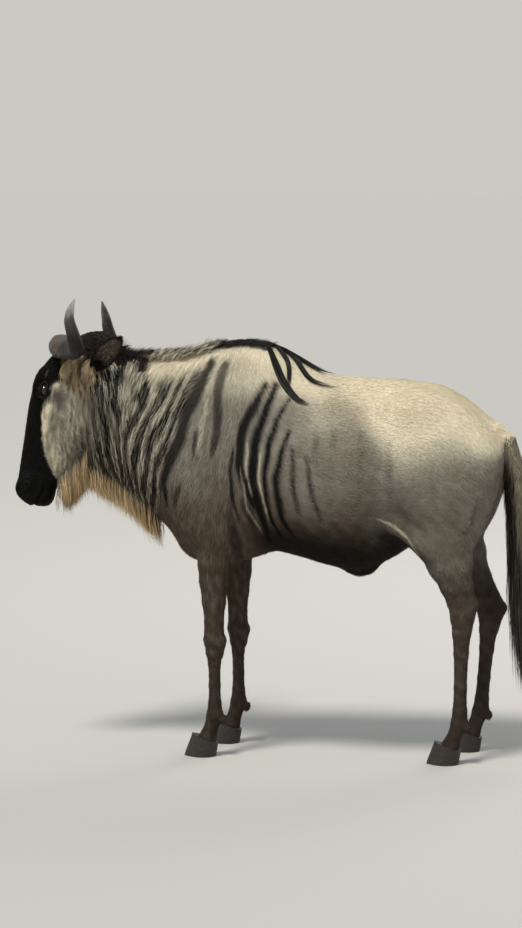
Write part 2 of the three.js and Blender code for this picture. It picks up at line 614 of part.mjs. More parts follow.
// Long locks that lie down the side of the body: each row is a stop, x, y and z, on the left side
const NECK_LOCKS = [
  { width: 24,
    stops: [[-482, -22, 1226], [-476, -58, 1193], [-475, -75, 1154], [-458, -90, 1100], [-440, -98, 1060]] },
  { width: 24,
    stops: [[-436, -16, 1232], [-452, -58, 1180], [-457, -82, 1133], [-446, -92, 1085], [-430, -100, 1045]] },
  { width: 20,
    stops: [[-366, -8, 1238], [-386, -38, 1221], [-386, -66, 1186], [-372, -90, 1130], [-360, -112, 1055]] },
];
const WITHERS_LOCKS = [
  { width: 34,
    stops: [[12, -10, 1281], [50, -58, 1238], [80, -100, 1186], [116, -135, 1144], [190, -166, 1108]] },
  { width: 26,
    stops: [[38, -12, 1275], [88, -52, 1232], [104, -98, 1186], [112, -128, 1152], [150, -150, 1124]] },
  { width: 26,
    stops: [[56, -10, 1268], [110, -34, 1240], [148, -74, 1202], [190, -100, 1174], [284, -116, 1156]] },
  { width: 34,
    stops: [[20, 0, 1281], [74, -6, 1266], [130, -14, 1237], [182, -20, 1208], [232, -38, 1190]] },
];

function longLocks(field, rows) {
  return BOTH.flatMap((side) => rows.map(({ width, stops }) => lock(field,
    stops.map(([x, y, z], i) => [x + (side > 0 ? 7 * i : 0), -side * y, z - (side > 0 ? 3 * i : 0)]),
    { width, thick: 7, clear: 4, steps: 6 })));
}

// Locks that hang: length is how far they drop, and sweep is how far the tip trails
function hangingLock(field, root, down, length, sweep, width) {
  const at = (share) => plus(plus(root, down, length * share), sweep, share * share);
  const facing = [0, Math.sign(root[1]), 0];
  const shape = { steps: 4, clear: 3, sink: 14, width, facing, hangs: true };
  return lock(field, [root, at(0.35), at(0.7), at(1)], shape);
}

// The fringe under the throat, in two close rows
function throatLocks(field, from, to, count) {
  return BOTH.flatMap((side) => spread(from, to, count).map((x, i) => {
    const share = (x - from) / (to - from);
    const root = [x + 5 * side, side * (i % 2 ? 5 : 19), trunkAt.bottom(x) + 6];
    const length = vary(mix(72, 100, Math.sin(Math.PI * Math.min(1, share * 1.15))), 0.12);
    return hangingLock(field, root, [0, 0, -1], length, [20, -side * 3, 0], vary(54, 0.1));
  }));
}

// The chin's beard, in the head's frame
function chinLocks(field, down, from, to, count) {
  return BOTH.flatMap((side) => spread(from, to, count).map((s, i) => {
    const share = (s - from) / (to - from);
    const root = [-s, side * (i % 2 ? 5 : 17), headAt.ventral(s) + 4];
    return hangingLock(field, root, down, vary(mix(96, 62, share), 0.1), [0, -side * 2, 0], vary(40, 0.1));
  }));
}

// Dark hair on the poll, between the horns and the ears
function pollLocks(field, count) {
  return BOTH.flatMap((side) => spread(6, 34, count).map((y) => lock(field, [
    [4, side * y, headAt.dorsal(-4)],
    [30, side * (y + 5), headAt.dorsal(-30) + 4],
    [50, side * (y + 12), headAt.dorsal(-50) - 12],
    [60, side * (y + 18), headAt.dorsal(-60) - 44],
  ], { width: vary(30, 0.1), thick: 6, steps: 4 })));
}

// The tail's hair, in tiers round the dock
const TAIL_TIERS = [
  { z: 860, count: 4, around: 230, length: 330, width: 32, proud: 16, tip: 26 },
  { z: 720, count: 5, around: 360, length: 440, width: 36, proud: 9, tip: 15 },
  { z: 575, count: 4, around: 360, length: 355, width: 36, proud: 3, tip: 5 },
];
const dockX = profile([...DOCK].reverse(), "z", "x");
const dockR = profile([...DOCK].reverse(), "z", "r");

function tierLocks(field, { z, count, around, length, width, proud, tip }) {
  return Array.from({ length: count }, (_, i) => {
    const angle = radians(around) * ((i + 0.5) / count - 0.5);
    const [c, s] = [Math.cos(angle), Math.sin(angle)];
    const drop = Math.min(vary(length, 0.08), z - TASSEL_FOOT.z - 4);
    const at = (share, out) => {
      const level = z - drop * share;
      const middle = level > DOCK_END.z ? dockX(level)
        : mix(DOCK_END.x, TASSEL_FOOT.x, (DOCK_END.z - level) / (DOCK_END.z - TASSEL_FOOT.z));
      return [middle + out * c, out * s, level];
    };
    const r = dockR(z);
    return lock(field, [at(0, r), at(0.3, r + proud), at(0.65, 12 + proud), at(1, vary(tip, 0.3))],
      { width, thick: 9, sink: 6, clear: 3, steps: 4 });
  });
}

function tailField(x, y, z) {
  let d = trunkField(x, y, z) - GAP;
  for (let i = 1; i < DOCK.length; i += 1) {
    const [a, b] = [DOCK[i - 1], DOCK[i]].map((row) => ({ at: [row.x, 0, row.z], r: row.r, w: row.r }));
    d = Math.min(d, coneField([x, y, z], a, b));
  }
  return d;
}

// Horn: a tapering tube with shallow rings near its base
function hornSolid(side, grow = 0) {
  const rows = spreadRows(HORN.map(([s, y, v, r]) => ({ s, y, v, r })), ["s", "y", "v", "r"], 15);
  return tubeSolid(rows.map(({ s, y, v, r }) => ({ at: [-s, y * side, v], r: r + grow })), SIDES.horn, 2);
}

// Ear: a leaf-shaped cup whose edges curl towards each other at the root
function earSolid(side, grow = 0) {
  const tips = side < 0 ? EAR_TIPS.left : EAR_TIPS.right;
  const [root, tip] = [EAR.root, tips].map(([s, y, v]) => new THREE.Vector3(-s, y * side, v));
  const length = root.distanceTo(tip);
  const ahead = tip.clone().sub(root).normalize();
  const [openX, openY, openZ] = EAR_LEAF.open;
  const open = new THREE.Vector3(openX, side * openY, openZ);
  open.addScaledVector(ahead, -open.dot(ahead)).normalize();
  const across = ahead.clone().cross(open);
  const { rows, cols } = EAR_LEAF;
  const rings = [];
  for (let i = 0; i < rows; i += 1) {
    const u = i / (rows - 1);
    const leaf = mix(EAR_LEAF.from, EAR_LEAF.to, Math.pow(u, 0.85));
    const half = EAR.half * Math.pow(Math.sin(Math.PI * leaf), 0.8);
    const curl = mix(EAR.curlRoot, EAR.curlTip, Math.pow(u, 0.7));
    const radius = half / curl;
    const middle = root.clone().addScaledVector(ahead, length * u)
      .addScaledVector(open, -EAR.sag * Math.sin(Math.PI * u));
    const place = (a, out) => {
      const angle = a * curl;
      return middle.clone().addScaledVector(across, (radius + out) * Math.sin(angle))
        .addScaledVector(open, radius - (radius + out) * Math.cos(angle)).toArray();
    };
    const shares = Array.from({ length: cols }, (_, k) => -1 + (2 * k) / (cols - 1));
    const wall = EAR.wall * mix(1, 0.6, u) + 2 * grow;
    const outer = shares.map((a) => place(a, wall * (1 - 0.35 * a * a) * 0.5));
    const inner = shares.map((a) => place(a, -wall * (1 - 0.35 * a * a) * 0.5)).reverse();
    rings.push([...outer, ...inner]);
  }
  const middleOf = (ring) => {
    const mid = (cols - 1) / 2;
    return plus(ring[mid], ring[2 * cols - 1 - mid], 1).map((value) => value / 2);
  };
  return solidOf(ringMesh(rings, middleOf(rings[0]), middleOf(rings[rows - 1])));
}

// Lids: an almond-shaped rim round each eye, heavier above
function lidSolid(side) {
  const { count, sides } = LID_RING;
  const { s, v, radius } = EYE;
  const ring = Array.from({ length: count }, (_, i) => {
    const angle = (2 * Math.PI * i) / count;
    const upper = Math.sin(angle) > 0;
    const ds = LID.long * Math.cos(angle);
    const dv = (upper ? LID.above : LID.below) * Math.sin(angle) - LID.tilt * ds;
    const deep = Math.sqrt(Math.max(0, (radius + LID.proud) ** 2 - Math.min(ds * ds, LID.flat) - dv * dv));
    return { at: [-(s + ds), side * (EYE.side + deep), v + dv], r: upper ? LID.thickAbove : LID.thickBelow };
  });
  const centre = new THREE.Vector3(-s, side * EYE.side, v);
  const points = ring.flatMap((row, i) => {
    const next = ring[(i + 1) % count];
    const before = ring[(i + count - 1) % count];
    const t = new THREE.Vector3(...next.at).sub(new THREE.Vector3(...before.at)).normalize();
    const at = new THREE.Vector3(...row.at);
    const out = at.clone().sub(centre);
    out.addScaledVector(t, -out.dot(t)).normalize();
    const across = t.clone().cross(out);
    return Array.from({ length: sides }, (_, k) => {
      const angle = (2 * Math.PI * k) / sides;
      return at.clone().addScaledVector(out, row.r * Math.cos(angle))
        .addScaledVector(across, row.r * Math.sin(angle)).toArray();
    });
  });
  const index = [];
  for (let i = 0; i < count; i += 1) {
    for (let k = 0; k < sides; k += 1) {
      const at = (a, b) => (a % count) * sides + (b % sides);
      index.push(at(i, k), at(i, k + 1), at(i + 1, k), at(i, k + 1), at(i + 1, k + 1), at(i + 1, k));
    }
  }
  return solidOf({ points, index });
}

// The line of the mouth: a thin wedge cut along both lips
function mouthCutter() {
  const [a, b] = [MOUTH.corner, MOUTH.front];
  const rings = Array.from({ length: MOUTH.rows }, (_, i) => {
    const t = i / (MOUTH.rows - 1);
    const s = mix(a[0], b[0], t);
    const v = mix(a[1], b[1], t) - MOUTH.sag * Math.sin(Math.PI * t);
    const inner = Math.max(4, headAt.half(Math.min(s, HEAD_ENDS.lips)) - MOUTH.depth * mix(0.4, 1, t));
    return { s, v, inner, open: MOUTH.open * mix(0.4, 1, t) };
  });
  return BOTH.map((side) => {
    const loops = rings.map(({ s, v, inner, open }) => [
      [-s, side * inner, v], [-s, side * MOUTH.outer, v + open], [-s, side * MOUTH.outer, v - open],
    ]);
    return solidOf(ringMesh(loops, [-a[0] + 2, side * rings[0].inner * 1.1, a[1]],
      [-b[0] - 2, side * MOUTH.tip, b[1]]));
  });
}

// One claw of a hoof: a wedge with a flat sole, rounded outside and straight along the cleft
function clawSolid(leg, half) {
  const [cx, cy] = [leg.joints.coronet[0], leg.joints.coronet[1] * leg.side];
  const heights = [0, 3, 22, 46, HOOF.height + HOOF.hidden];
  const { sides } = CLAW;
  const rings = heights.map((z) => {
    const rise = z / HOOF.height;
    const size = mix(HOOF.flare, HOOF.neck, Math.min(1, rise)) * (z === 0 ? CLAW.sole : 1);
    const forward = -CLAW.back + CLAW.lean * rise;
    return Array.from({ length: sides }, (_, i) => {
      const angle = (2 * Math.PI * i) / sides;
      const [c, s] = [Math.cos(angle), Math.sin(angle)];
      const reach = c < 0 ? HOOF.toe : HOOF.heel;
      const narrow = 1 - (c < 0 ? CLAW.toeNarrow : CLAW.heelNarrow) * c * c;
      const x = cx + forward + c * reach * size * CLAW.long;
      const wide = (half * s > 0 ? 1 : 0) * Math.abs(s) * HOOF.half * size * narrow;
      return [x, cy + half * (HOOF_CLEFT / 2 + wide + (wide ? 0 : 0.0001 * i)), z];
    });
  });
  const onThisHalf = (_, i) => half * Math.sin((2 * Math.PI * i) / sides) >= -1e-9;
  const outline = rings.map((ring) => ring.filter(onThisHalf));
  const middle = cy + half * (HOOF_CLEFT / 2 + 12);
  const first = [cx - 8, middle, 0];
  const last = [cx + 4, middle, HOOF.height + HOOF.hidden];
  return solidOf(ringMesh(outline, first, last));
}

// A slab on one side of the plane z = level + slope * (x - x0), to cut a leg from its hoof
function coronetPlane(leg, shift) {
  const normal = [-HOOF.slope, 0, -1];
  const length = Math.hypot(...normal);
  const unitNormal = normal.map((value) => value / length);
  const at = [leg.joints.coronet[0], 0, HOOF.level + shift];
  return { normal: unitNormal, offset: dot(unitNormal, at) };
}

// Building
const steps = (from, to, count) => Array.from({ length: count }, (_, i) => mix(from, to, i / (count - 1)));
const trunkRings = [...steps(-540, -40, 13), ...steps(0, 600, 15), 630, 658];
const wholeTrunk = trunkSolid(trunkRings, SIDES.trunk);
const grownTrunk = trunkSolid(trunkRings, SIDES.trunk, GAP);
const headRings = [-55, -49, -38, ...steps(-20, 420, 17), 438, 454, 468, 482, 494, 503, 509, 513];
const headWhole = headSolid(headRings, SIDES.head);
const headGrown = headSolid(headRings, SIDES.head, GAP);
const inPlace = (solid) => solid.transform(headMatrix.elements);
const bodyField = (x, y, z) => Math.min(trunkField(x, y, z), headFieldInPlace(x, y, z));

// The neck is the front of the trunk. A leaning plane parts it from the torso and the head's back ends it.
const cutNormal = unit([1, 0, -NECK_CUT.lean]);
const cutOffset = dot(cutNormal, [NECK_CUT.x, 0, NECK_CUT.z]);
const behindCut = (solid) => solid.trimByPlane(cutNormal, cutOffset + GAP / 2);
const aheadOfCut = (solid) => solid.trimByPlane(cutNormal.map((value) => -value), -cutOffset + GAP / 2);

const neckPieces = [
  ...crestLocks(bodyField, -508, -272, 8, 22),
  ...longLocks(bodyField, NECK_LOCKS),
  ...throatLocks(bodyField, -562, -262, 9),
];
let neck = aheadOfCut(joined([aheadOfCut(wholeTrunk), ...neckPieces])).subtract(inPlace(headGrown));
for (const side of BOTH) {
  neck = neck.subtract(inPlace(earSolid(side, GAP))).subtract(inPlace(hornSolid(side, GAP)));
}
neck = largest(neck);

const torsoPieces = [
  ...crestLocks(bodyField, -208, 14, 8, 12),
  ...longLocks(bodyField, WITHERS_LOCKS),
];
const torso = largest(behindCut(joined([behindCut(wholeTrunk), ...torsoPieces])));

const dockRows = spreadRows(DOCK, ["x", "z", "r"], 15).map(({ x, z, r }) => ({ at: [x, 0, z], r }));
const dock = tubeSolid(dockRows, SIDES.dock, 4);
const tailHair = TAIL_TIERS.flatMap((tier) => tierLocks(tailField, tier));
const tail = largest(joined([dock, ...tailHair]).subtract(grownTrunk));

// The head, in its own frame
const nostrils = BOTH.map((side) => ellipsoidSolid(
  [-NOSTRIL.at[0], side * NOSTRIL.at[1], NOSTRIL.at[2]], NOSTRIL.radii, NOSTRIL.turn, ...SIDES.nostril));
const eyeAt = (side, radius) => (
  ellipsoidSolid([-EYE.s, side * EYE.side, EYE.v], [radius, radius, radius], 0, ...SIDES.eye));
const headDown = new THREE.Vector3(0, 0, -1).transformDirection(headInverse).toArray();
let headHair = joined([...chinLocks(headField, headDown, 345, 438, 4), ...pollLocks(headField, 2)]);
for (const side of BOTH) headHair = headHair.subtract(hornSolid(side, GAP)).subtract(earSolid(side, GAP));
let head = joined([headWhole, headHair, ...BOTH.map(lidSolid)]);
const headCutters = [...nostrils, ...mouthCutter(), ...BOTH.map((side) => eyeAt(side, EYE.radius + GAP))];
for (const cutter of headCutters) head = head.subtract(cutter);
head = largest(head);

const group = new THREE.Group();
group.name = "wildebeest";

function meshOf(name, solid, colour, roughness) {
  const data = solid.getMesh();
  const positions = new Float32Array(data.numVert * 3);
  for (let i = 0; i < data.numVert; i += 1) {
    positions.set(data.vertProperties.subarray(i * data.numProp, i * data.numProp + 3), i * 3);
  }
  const geometry = new THREE.BufferGeometry();
  geometry.setAttribute("position", new THREE.BufferAttribute(positions, 3));
  geometry.setIndex(new THREE.BufferAttribute(new Uint32Array(data.triVerts), 1));
  const mesh = new THREE.Mesh(geometry, new THREE.MeshStandardMaterial({ color: colour, roughness }));
  mesh.name = name;
  return mesh;
}

const GREY = 0x8d877c;
const DARK = 0x1c1a19;
const BROWN = 0x5b4c43;
const EYE_BROWN = 0x120c08;
const HORN_GREY = 0x5d5a57;
const HOOF_BLACK = 0x2b2724;

const headGroup = new THREE.Group();
headGroup.applyMatrix4(headMatrix);
group.add(headGroup);
headGroup.add(meshOf("head", head, DARK, 0.8));
["left", "right"].forEach((name, i) => {
  const side = BOTH[i];
  headGroup.add(meshOf("eye_" + name, eyeAt(side, EYE.radius), EYE_BROWN, 0.15));
  headGroup.add(meshOf("horn_" + name, largest(hornSolid(side).subtract(headGrown)), HORN_GREY, 0.5));
  headGroup.add(meshOf("ear_" + name, largest(earSolid(side).subtract(headGrown)), GREY, 0.85));
});
group.add(meshOf("neck", neck, GREY, 0.85));
group.add(meshOf("torso", torso, GREY, 0.85));
group.add(meshOf("tail", tail, DARK, 0.85));

// Legs, each in an upper and a lower length, and two claws to each hoof
for (const [name, leg] of Object.entries(LEGS)) {
  const fore = "knee" in leg.joints;
  const joint = fore ? leg.joints.knee : leg.joints.hock;
  const upperRings = steps(fore ? 800 : 810, joint[2] + 28, fore ? 9 : 11);
  const lowerRings = [...steps(joint[2] + 4, 175, 6), 150, 134, 118, 100, 78, 58, 40];
  const whole = legSolid(leg, [...upperRings, ...lowerRings], SIDES.leg).subtract(grownTrunk);
  const split = joint[2] - (fore ? 50 : 60);
  const upper = largest(whole.trimByPlane([0, 0, 1], split + GAP / 2));
  const plane = coronetPlane(leg, 0);
  const lower = largest(whole.trimByPlane([0, 0, -1], -(split - GAP / 2))
    .trimByPlane(plane.normal.map((value) => -value), -plane.offset));
  group.add(meshOf("leg_" + name + "_upper", upper, BROWN, 0.85));
  group.add(meshOf("leg_" + name + "_lower", lower, BROWN, 0.85));
  for (const half of BOTH) {
    const under = coronetPlane(leg, -GAP);
    const claw = largest(clawSolid(leg, half).trimByPlane(under.normal, under.offset));
    group.add(meshOf("hoof_" + name + (half * leg.side > 0 ? "_outer" : "_inner"), claw, HOOF_BLACK, 0.5));
  }
}

// The origin is under the middle of the whole bull, on the floor.
const middle = new THREE.Box3().setFromObject(group, true).getCenter(new THREE.Vector3());
group.position.set(-middle.x, -middle.y, 0);

export default group;
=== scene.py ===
"""A blue wildebeest bull of the white-bearded kind, standing still, at life size.

One skin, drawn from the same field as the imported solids, carries a short coat, shaggy neck hair, a black
mane, a beard and a tail of solid tufts. Sizes are in millimetres in the bull's own frame: it faces -X, its
left side is at -Y and the floor is z = 0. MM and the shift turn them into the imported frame's metres.
"""
import math

import bmesh
import bpy
import numpy as np
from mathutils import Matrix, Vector


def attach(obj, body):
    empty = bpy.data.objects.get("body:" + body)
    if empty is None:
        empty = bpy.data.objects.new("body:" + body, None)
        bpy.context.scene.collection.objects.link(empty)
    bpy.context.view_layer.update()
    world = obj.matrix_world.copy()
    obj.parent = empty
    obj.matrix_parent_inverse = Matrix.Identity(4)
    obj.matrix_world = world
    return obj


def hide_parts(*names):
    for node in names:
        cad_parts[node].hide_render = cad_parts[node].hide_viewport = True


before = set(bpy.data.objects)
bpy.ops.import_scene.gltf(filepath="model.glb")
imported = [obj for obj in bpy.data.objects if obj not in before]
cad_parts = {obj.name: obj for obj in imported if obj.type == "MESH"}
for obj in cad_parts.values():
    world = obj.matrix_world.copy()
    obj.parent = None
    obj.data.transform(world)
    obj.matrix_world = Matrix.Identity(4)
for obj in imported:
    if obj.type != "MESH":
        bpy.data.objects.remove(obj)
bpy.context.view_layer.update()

MM = 0.001
SEED = 5
rng = np.random.default_rng(SEED)
BOTH = (-1, 1)

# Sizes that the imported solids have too
HEAD_PLACE = np.array([-551.0, 0.0, 1257.0])
HEAD_DROP = 72.8
HEAD_ROLL = -4.5
EYE = dict(s=157, side=68, v=77, radius=20)

# Trunk and neck: x, top, bottom, height of the widest place, half width, powers above and below it
TRUNK = [
    (-575, 1215, 892, 1060, 64, 2.0, 2.0),
    (-500, 1230, 862, 1055, 84, 1.8, 1.9),
    (-432, 1237, 822, 1040, 98, 1.7, 1.8),
    (-354, 1238, 760, 1005, 118, 1.6, 1.8),
    (-274, 1243, 683, 965, 148, 1.5, 1.9),
    (-209, 1256, 622, 925, 176, 1.4, 2.1),
    (-130, 1286, 600, 890, 196, 1.35, 2.2),
    (-50, 1294, 620, 865, 210, 1.35, 2.2),
    (40, 1279, 637, 850, 226, 1.45, 2.2),
    (123, 1237, 623, 842, 242, 1.7, 2.2),
    (219, 1194, 597, 840, 252, 2.0, 2.2),
    (315, 1188, 583, 848, 248, 2.1, 2.1),
    (407, 1185, 617, 880, 222, 2.2, 2.0),
    (500, 1177, 680, 930, 200, 2.2, 2.0),
    (570, 1160, 735, 950, 190, 2.1, 2.0),
    (640, 1117, 790, 950, 172, 2.0, 2.0),
    (700, 1072, 845, 950, 146, 2.0, 2.0),
    (745, 1030, 880, 945, 110, 2.0, 2.0),
]
TRUNK_ENDS = dict(front=-572, front_round=60, rear=758, rear_round=125)

# Forms of muscle and bone: centre, radii, lean in degrees, blend
FORMS = {
    "shoulder blade": ((-128, 100, 1010), (112, 66, 185), 14, 100),
    "upper arm": ((-160, 122, 800), (100, 74, 125), -16, 70),
    "elbow": ((-78, 130, 725), (44, 44, 66), 8, 40),
    "brisket": ((-212, 44, 706), (50, 58, 84), -26, 50),
    "breastbone": ((-110, 0, 664), (130, 92, 52), 0, 60),
    "haunch": ((585, 118, 915), (138, 78, 205), -6, 90),
    "buttock": ((684, 86, 905), (74, 68, 140), 4, 60),
    "thigh": ((592, 122, 790), (112, 70, 125), -8, 70),
    "hip bone": ((500, 132, 1105), (60, 44, 44), 0, 70),
    "flank fold": ((452, 160, 728), (20, 20, 112), -56, 44),
}
SHEATH = ((316, 0, 594), (40, 20, 24), 0, 60)

# Head along its own axis: s, bridge of the nose, jaw, widest place, half width, powers above and below it
HEAD = [
    (-70, 20, -80, -20, 58, 2.0, 2.0),
    (-20, 48, -92, -8, 70, 2.2, 1.9),
    (20, 80, -98, 10, 76, 2.3, 1.9),
    (60, 106, -104, 30, 80, 2.4, 1.8),
    (112, 124, -114, 42, 82, 2.4, 1.7),
    (160, 131, -122, 44, 80, 2.2, 1.7),
    (210, 129, -127, 38, 73, 2.0, 1.7),
    (275, 120, -122, 28, 64, 1.9, 1.7),
    (340, 109, -94, 24, 57, 1.9, 1.8),
    (403, 99, -64, 24, 54, 2.0, 2.0),
    (440, 92, -38, 28, 57, 2.2, 2.2),
    (468, 87, -30, 26, 60, 2.4, 2.3),
    (494, 78, -28, 22, 59, 2.5, 2.4),
    (516, 62, -24, 18, 50, 2.4, 2.3),
]
HEAD_ENDS = dict(back=-58, back_round=62, lips=516, lips_round=26)
HEAD_FORMS = {
    "brow": ((140, 58, 102), (48, 23, 19), 26),
    "cheek bone": ((200, 62, 34), (86, 17, 17), 22),
    "jaw muscle": ((196, 44, -48), (100, 30, 62), 34),
    "nostril pad": ((466, 44, 50), (40, 23, 32), 16),
    "upper lip": ((492, 34, 28), (24, 28, 24), 14),
    "chin": ((476, 16, -20), (32, 24, 16), 16),
}
NOSTRIL = dict(at=(462, 64, 54), radii=(25, 13, 8), turn=28)
MOUTH = dict(corner=(430, -6), front=(526, 14), sag=9)
LEGS = {
    "fore_left": (-1, dict(top=(-150, 116, 835), elbow=(-127, 126, 690), knee=(-127, 118, 368),
                           fetlock=(-126, 113, 130), coronet=(-150, 111, 55))),
    "fore_right": (1, dict(top=(-136, 116, 835), elbow=(-100, 126, 690), knee=(-95, 118, 368),
                           fetlock=(-92, 113, 130), coronet=(-116, 111, 55))),
    "hind_left": (-1, dict(top=(604, 118, 850), stifle=(592, 132, 705), hock=(646, 115, 466),
                           heel=(680, 112, 500), fetlock=(640, 110, 128), coronet=(611, 109, 55))),
    "hind_right": (1, dict(top=(612, 118, 850), stifle=(584, 132, 710), hock=(708, 115, 438),
                           heel=(746, 112, 458), fetlock=(682, 110, 128), coronet=(653, 109, 55))),
}

# Each bone's joints and its sections: share of its length, radius front to back, radius sideways
FORE_BONES = [
    ("top", "elbow", [(0, 66, 46), (1, 55, 45)]),
    ("elbow", "knee", [(0, 55, 45), (0.24, 50, 42), (0.42, 46, 38), (0.62, 38, 33), (0.82, 31, 29),
                       (1, 34, 32)]),
    ("knee", "fetlock", [(0, 34, 32), (0.16, 27, 26), (0.3, 21, 19), (0.6, 19, 17), (0.84, 21, 21),
                         (1, 27, 26)]),
    ("fetlock", "coronet", [(0, 27, 26), (0.5, 22, 25), (1, 30, 31)]),
]
HIND_BONES = [
    ("top", "stifle", [(0, 116, 60), (1, 96, 54)]),
    ("stifle", "hock", [(0, 96, 54), (0.3, 74, 46), (0.58, 50, 35), (0.8, 38, 29), (1, 35, 31)]),
    ("hock", "fetlock", [(0, 35, 31), (0.16, 30, 26), (0.36, 24, 20), (0.66, 21, 18), (0.88, 23, 21),
                         (1, 28, 26)]),
    ("fetlock", "coronet", [(0, 28, 26), (0.5, 22, 25), (1, 30, 31)]),
]
HOOF = dict(height=62, slope=0.34, toe=62, heel=42, half=31, flare=1.14, level=56, cleft=2.5)
DEWCLAW = dict(back=27, side=15, drop=12, radii=(11, 9, 15))

# Tail, horns and ears
DOCK = [(690, 1030, 30), (734, 1022, 29), (770, 992, 28), (790, 935, 26), (798, 860, 23), (806, 780, 20),
        (817, 700, 16), (829, 600, 13), (835, 500, 8)]
TASSEL_FOOT = (846, 214)

# Along each horn: s, y, v and radius, in the head's frame
HORN = [(26, 40, 52, 38), (16, 44, 70, 39), (10, 88, 68, 36), (8, 138, 42, 32), (4, 188, 4, 28),
        (-8, 232, -15, 25), (-42, 258, -1, 21), (-84, 260, 25, 16.5), (-120, 232, 39, 10.5),
        (-148, 190, 46, 2.2)]
EAR = dict(root=(34, 62, -52), half=41, wall=5, curl_root=1.9, curl_tip=0.55)
EAR_TIPS = {-1: (-82, 198, -130), 1: (14, 222, -100)}

# How far the skin lies inside the solids, under its coat
COAT = dict(body=5.0, face=2.0, leg=2.0, tail=3)


# The shape as a field, negative inside
def profile(rows, column):
    """A smooth curve through a table's column that never overshoots its rows."""
    xs = np.array([row[0] for row in rows], float)
    ys = np.array([row[column] for row in rows], float)
    slopes = np.diff(ys) / np.diff(xs)
    before, after = slopes[:-1], slopes[1:]
    level = before * after <= 0
    inner = np.where(level, 0, 2 * before * after / np.where(level, 1, before + after))
    tangents = np.concatenate([slopes[:1], inner, slopes[-1:]])

    def at(x):
        x = np.clip(x, xs[0], xs[-1])
        i = np.clip(np.searchsorted(xs, x, side="right") - 1, 0, len(xs) - 2)
        width = xs[i + 1] - xs[i]
        t = (x - xs[i]) / width
        t2, t3 = t * t, t * t * t
        return ((2 * t3 - 3 * t2 + 1) * ys[i] + (t3 - 2 * t2 + t) * width * tangents[i]
                + (3 * t2 - 2 * t3) * ys[i + 1] + (t3 - t2) * width * tangents[i + 1])

    return at


SECTION = ("top", "bottom", "widest", "half", "above", "below")
trunk_at = {name: profile(TRUNK, i + 1) for i, name in enumerate(SECTION)}
head_at = {name: profile(HEAD, i + 1) for i, name in enumerate(SECTION)}


def join(a, b, blend):
    h = np.maximum(blend - np.abs(a - b), 0) / blend
    return np.minimum(a, b) - h * h * blend / 4


def meet(a, b, blend):
    return -join(-a, -b, blend)


def section_field(at, along, side, height):
    widest = at["widest"](along)
    up = height - widest
    upper = up > 0
    power = np.where(upper, at["above"](along), at["below"](along))
    reach = np.where(upper, at["top"](along) - widest, widest - at["bottom"](along))
    distance = np.maximum(np.hypot(side, up), 1e-3)
    share = ((np.abs(side) / at["half"](along)) ** power + (np.abs(up) / reach) ** power) ** (1 / power)
    return distance * (1 - 1 / np.maximum(share, 1e-5))


def ellipsoid_field(dx, dy, dz, radii, lean=0):
    c, s = math.cos(math.radians(lean)), math.sin(math.radians(lean))
    x, z = dx * c - dz * s, dx * s + dz * c
    k0 = np.sqrt((x / radii[0]) ** 2 + (dy / radii[1]) ** 2 + (z / radii[2]) ** 2)
    k1 = np.sqrt((x / radii[0] ** 2) ** 2 + (dy / radii[1] ** 2) ** 2 + (z / radii[2] ** 2) ** 2)
    return k0 * (k0 - 1) / np.maximum(k1, 1e-6)


def trunk_field(p):
    x, y, z = p.T
    d = section_field(trunk_at, x, y, z)
    d = meet(d, x - TRUNK_ENDS["rear"], TRUNK_ENDS["rear_round"])
    d = meet(d, TRUNK_ENDS["front"] - x, TRUNK_ENDS["front_round"])
    for (cx, cy, cz), radii, lean, blend in FORMS.values():
        d = join(d, ellipsoid_field(x - cx, np.abs(y) - cy, z - cz, radii, lean), blend)
    (cx, cy, cz), radii, lean, blend = SHEATH
    return join(d, ellipsoid_field(x - cx, y - cy, z - cz, radii, lean), blend)


def turn_x(angle):
    c, s = math.cos(angle), math.sin(angle)
    return np.array([[1, 0, 0], [0, c, -s], [0, s, c]])


def turn_y(angle):
    c, s = math.cos(angle), math.sin(angle)
    return np.array([[c, 0, s], [0, 1, 0], [-s, 0, c]])


HEAD_TURN = turn_x(math.radians(HEAD_ROLL)) @ turn_y(math.radians(-HEAD_DROP))


def to_head(p):
    """Points of the bull's frame as s along the head, y sideways and v out of the bridge of the nose."""
    q = (p - HEAD_PLACE) @ HEAD_TURN
    return -q[:, 0], q[:, 1], q[:, 2]


def from_head(s, y, v):
    q = np.stack(np.broadcast_arrays(-np.asarray(s, float), y, v), -1)
    return q @ HEAD_TURN.T + HEAD_PLACE


def mouth_line(s):
    (s0, v0), (s1, v1) = MOUTH["corner"], MOUTH["front"]
    t = np.clip((s - s0) / (s1 - s0), 0, 1)
    return v0 + (v1 - v0) * t - MOUTH["sag"] * np.sin(np.pi * t)


def groove(d, away, wide, deep, where):
    return d + deep * where * np.exp(-((away / wide) ** 2))


def step_up(t, low, high):
    t = np.clip((t - low) / (high - low), 0, 1)
    return t * t * (3 - 2 * t)


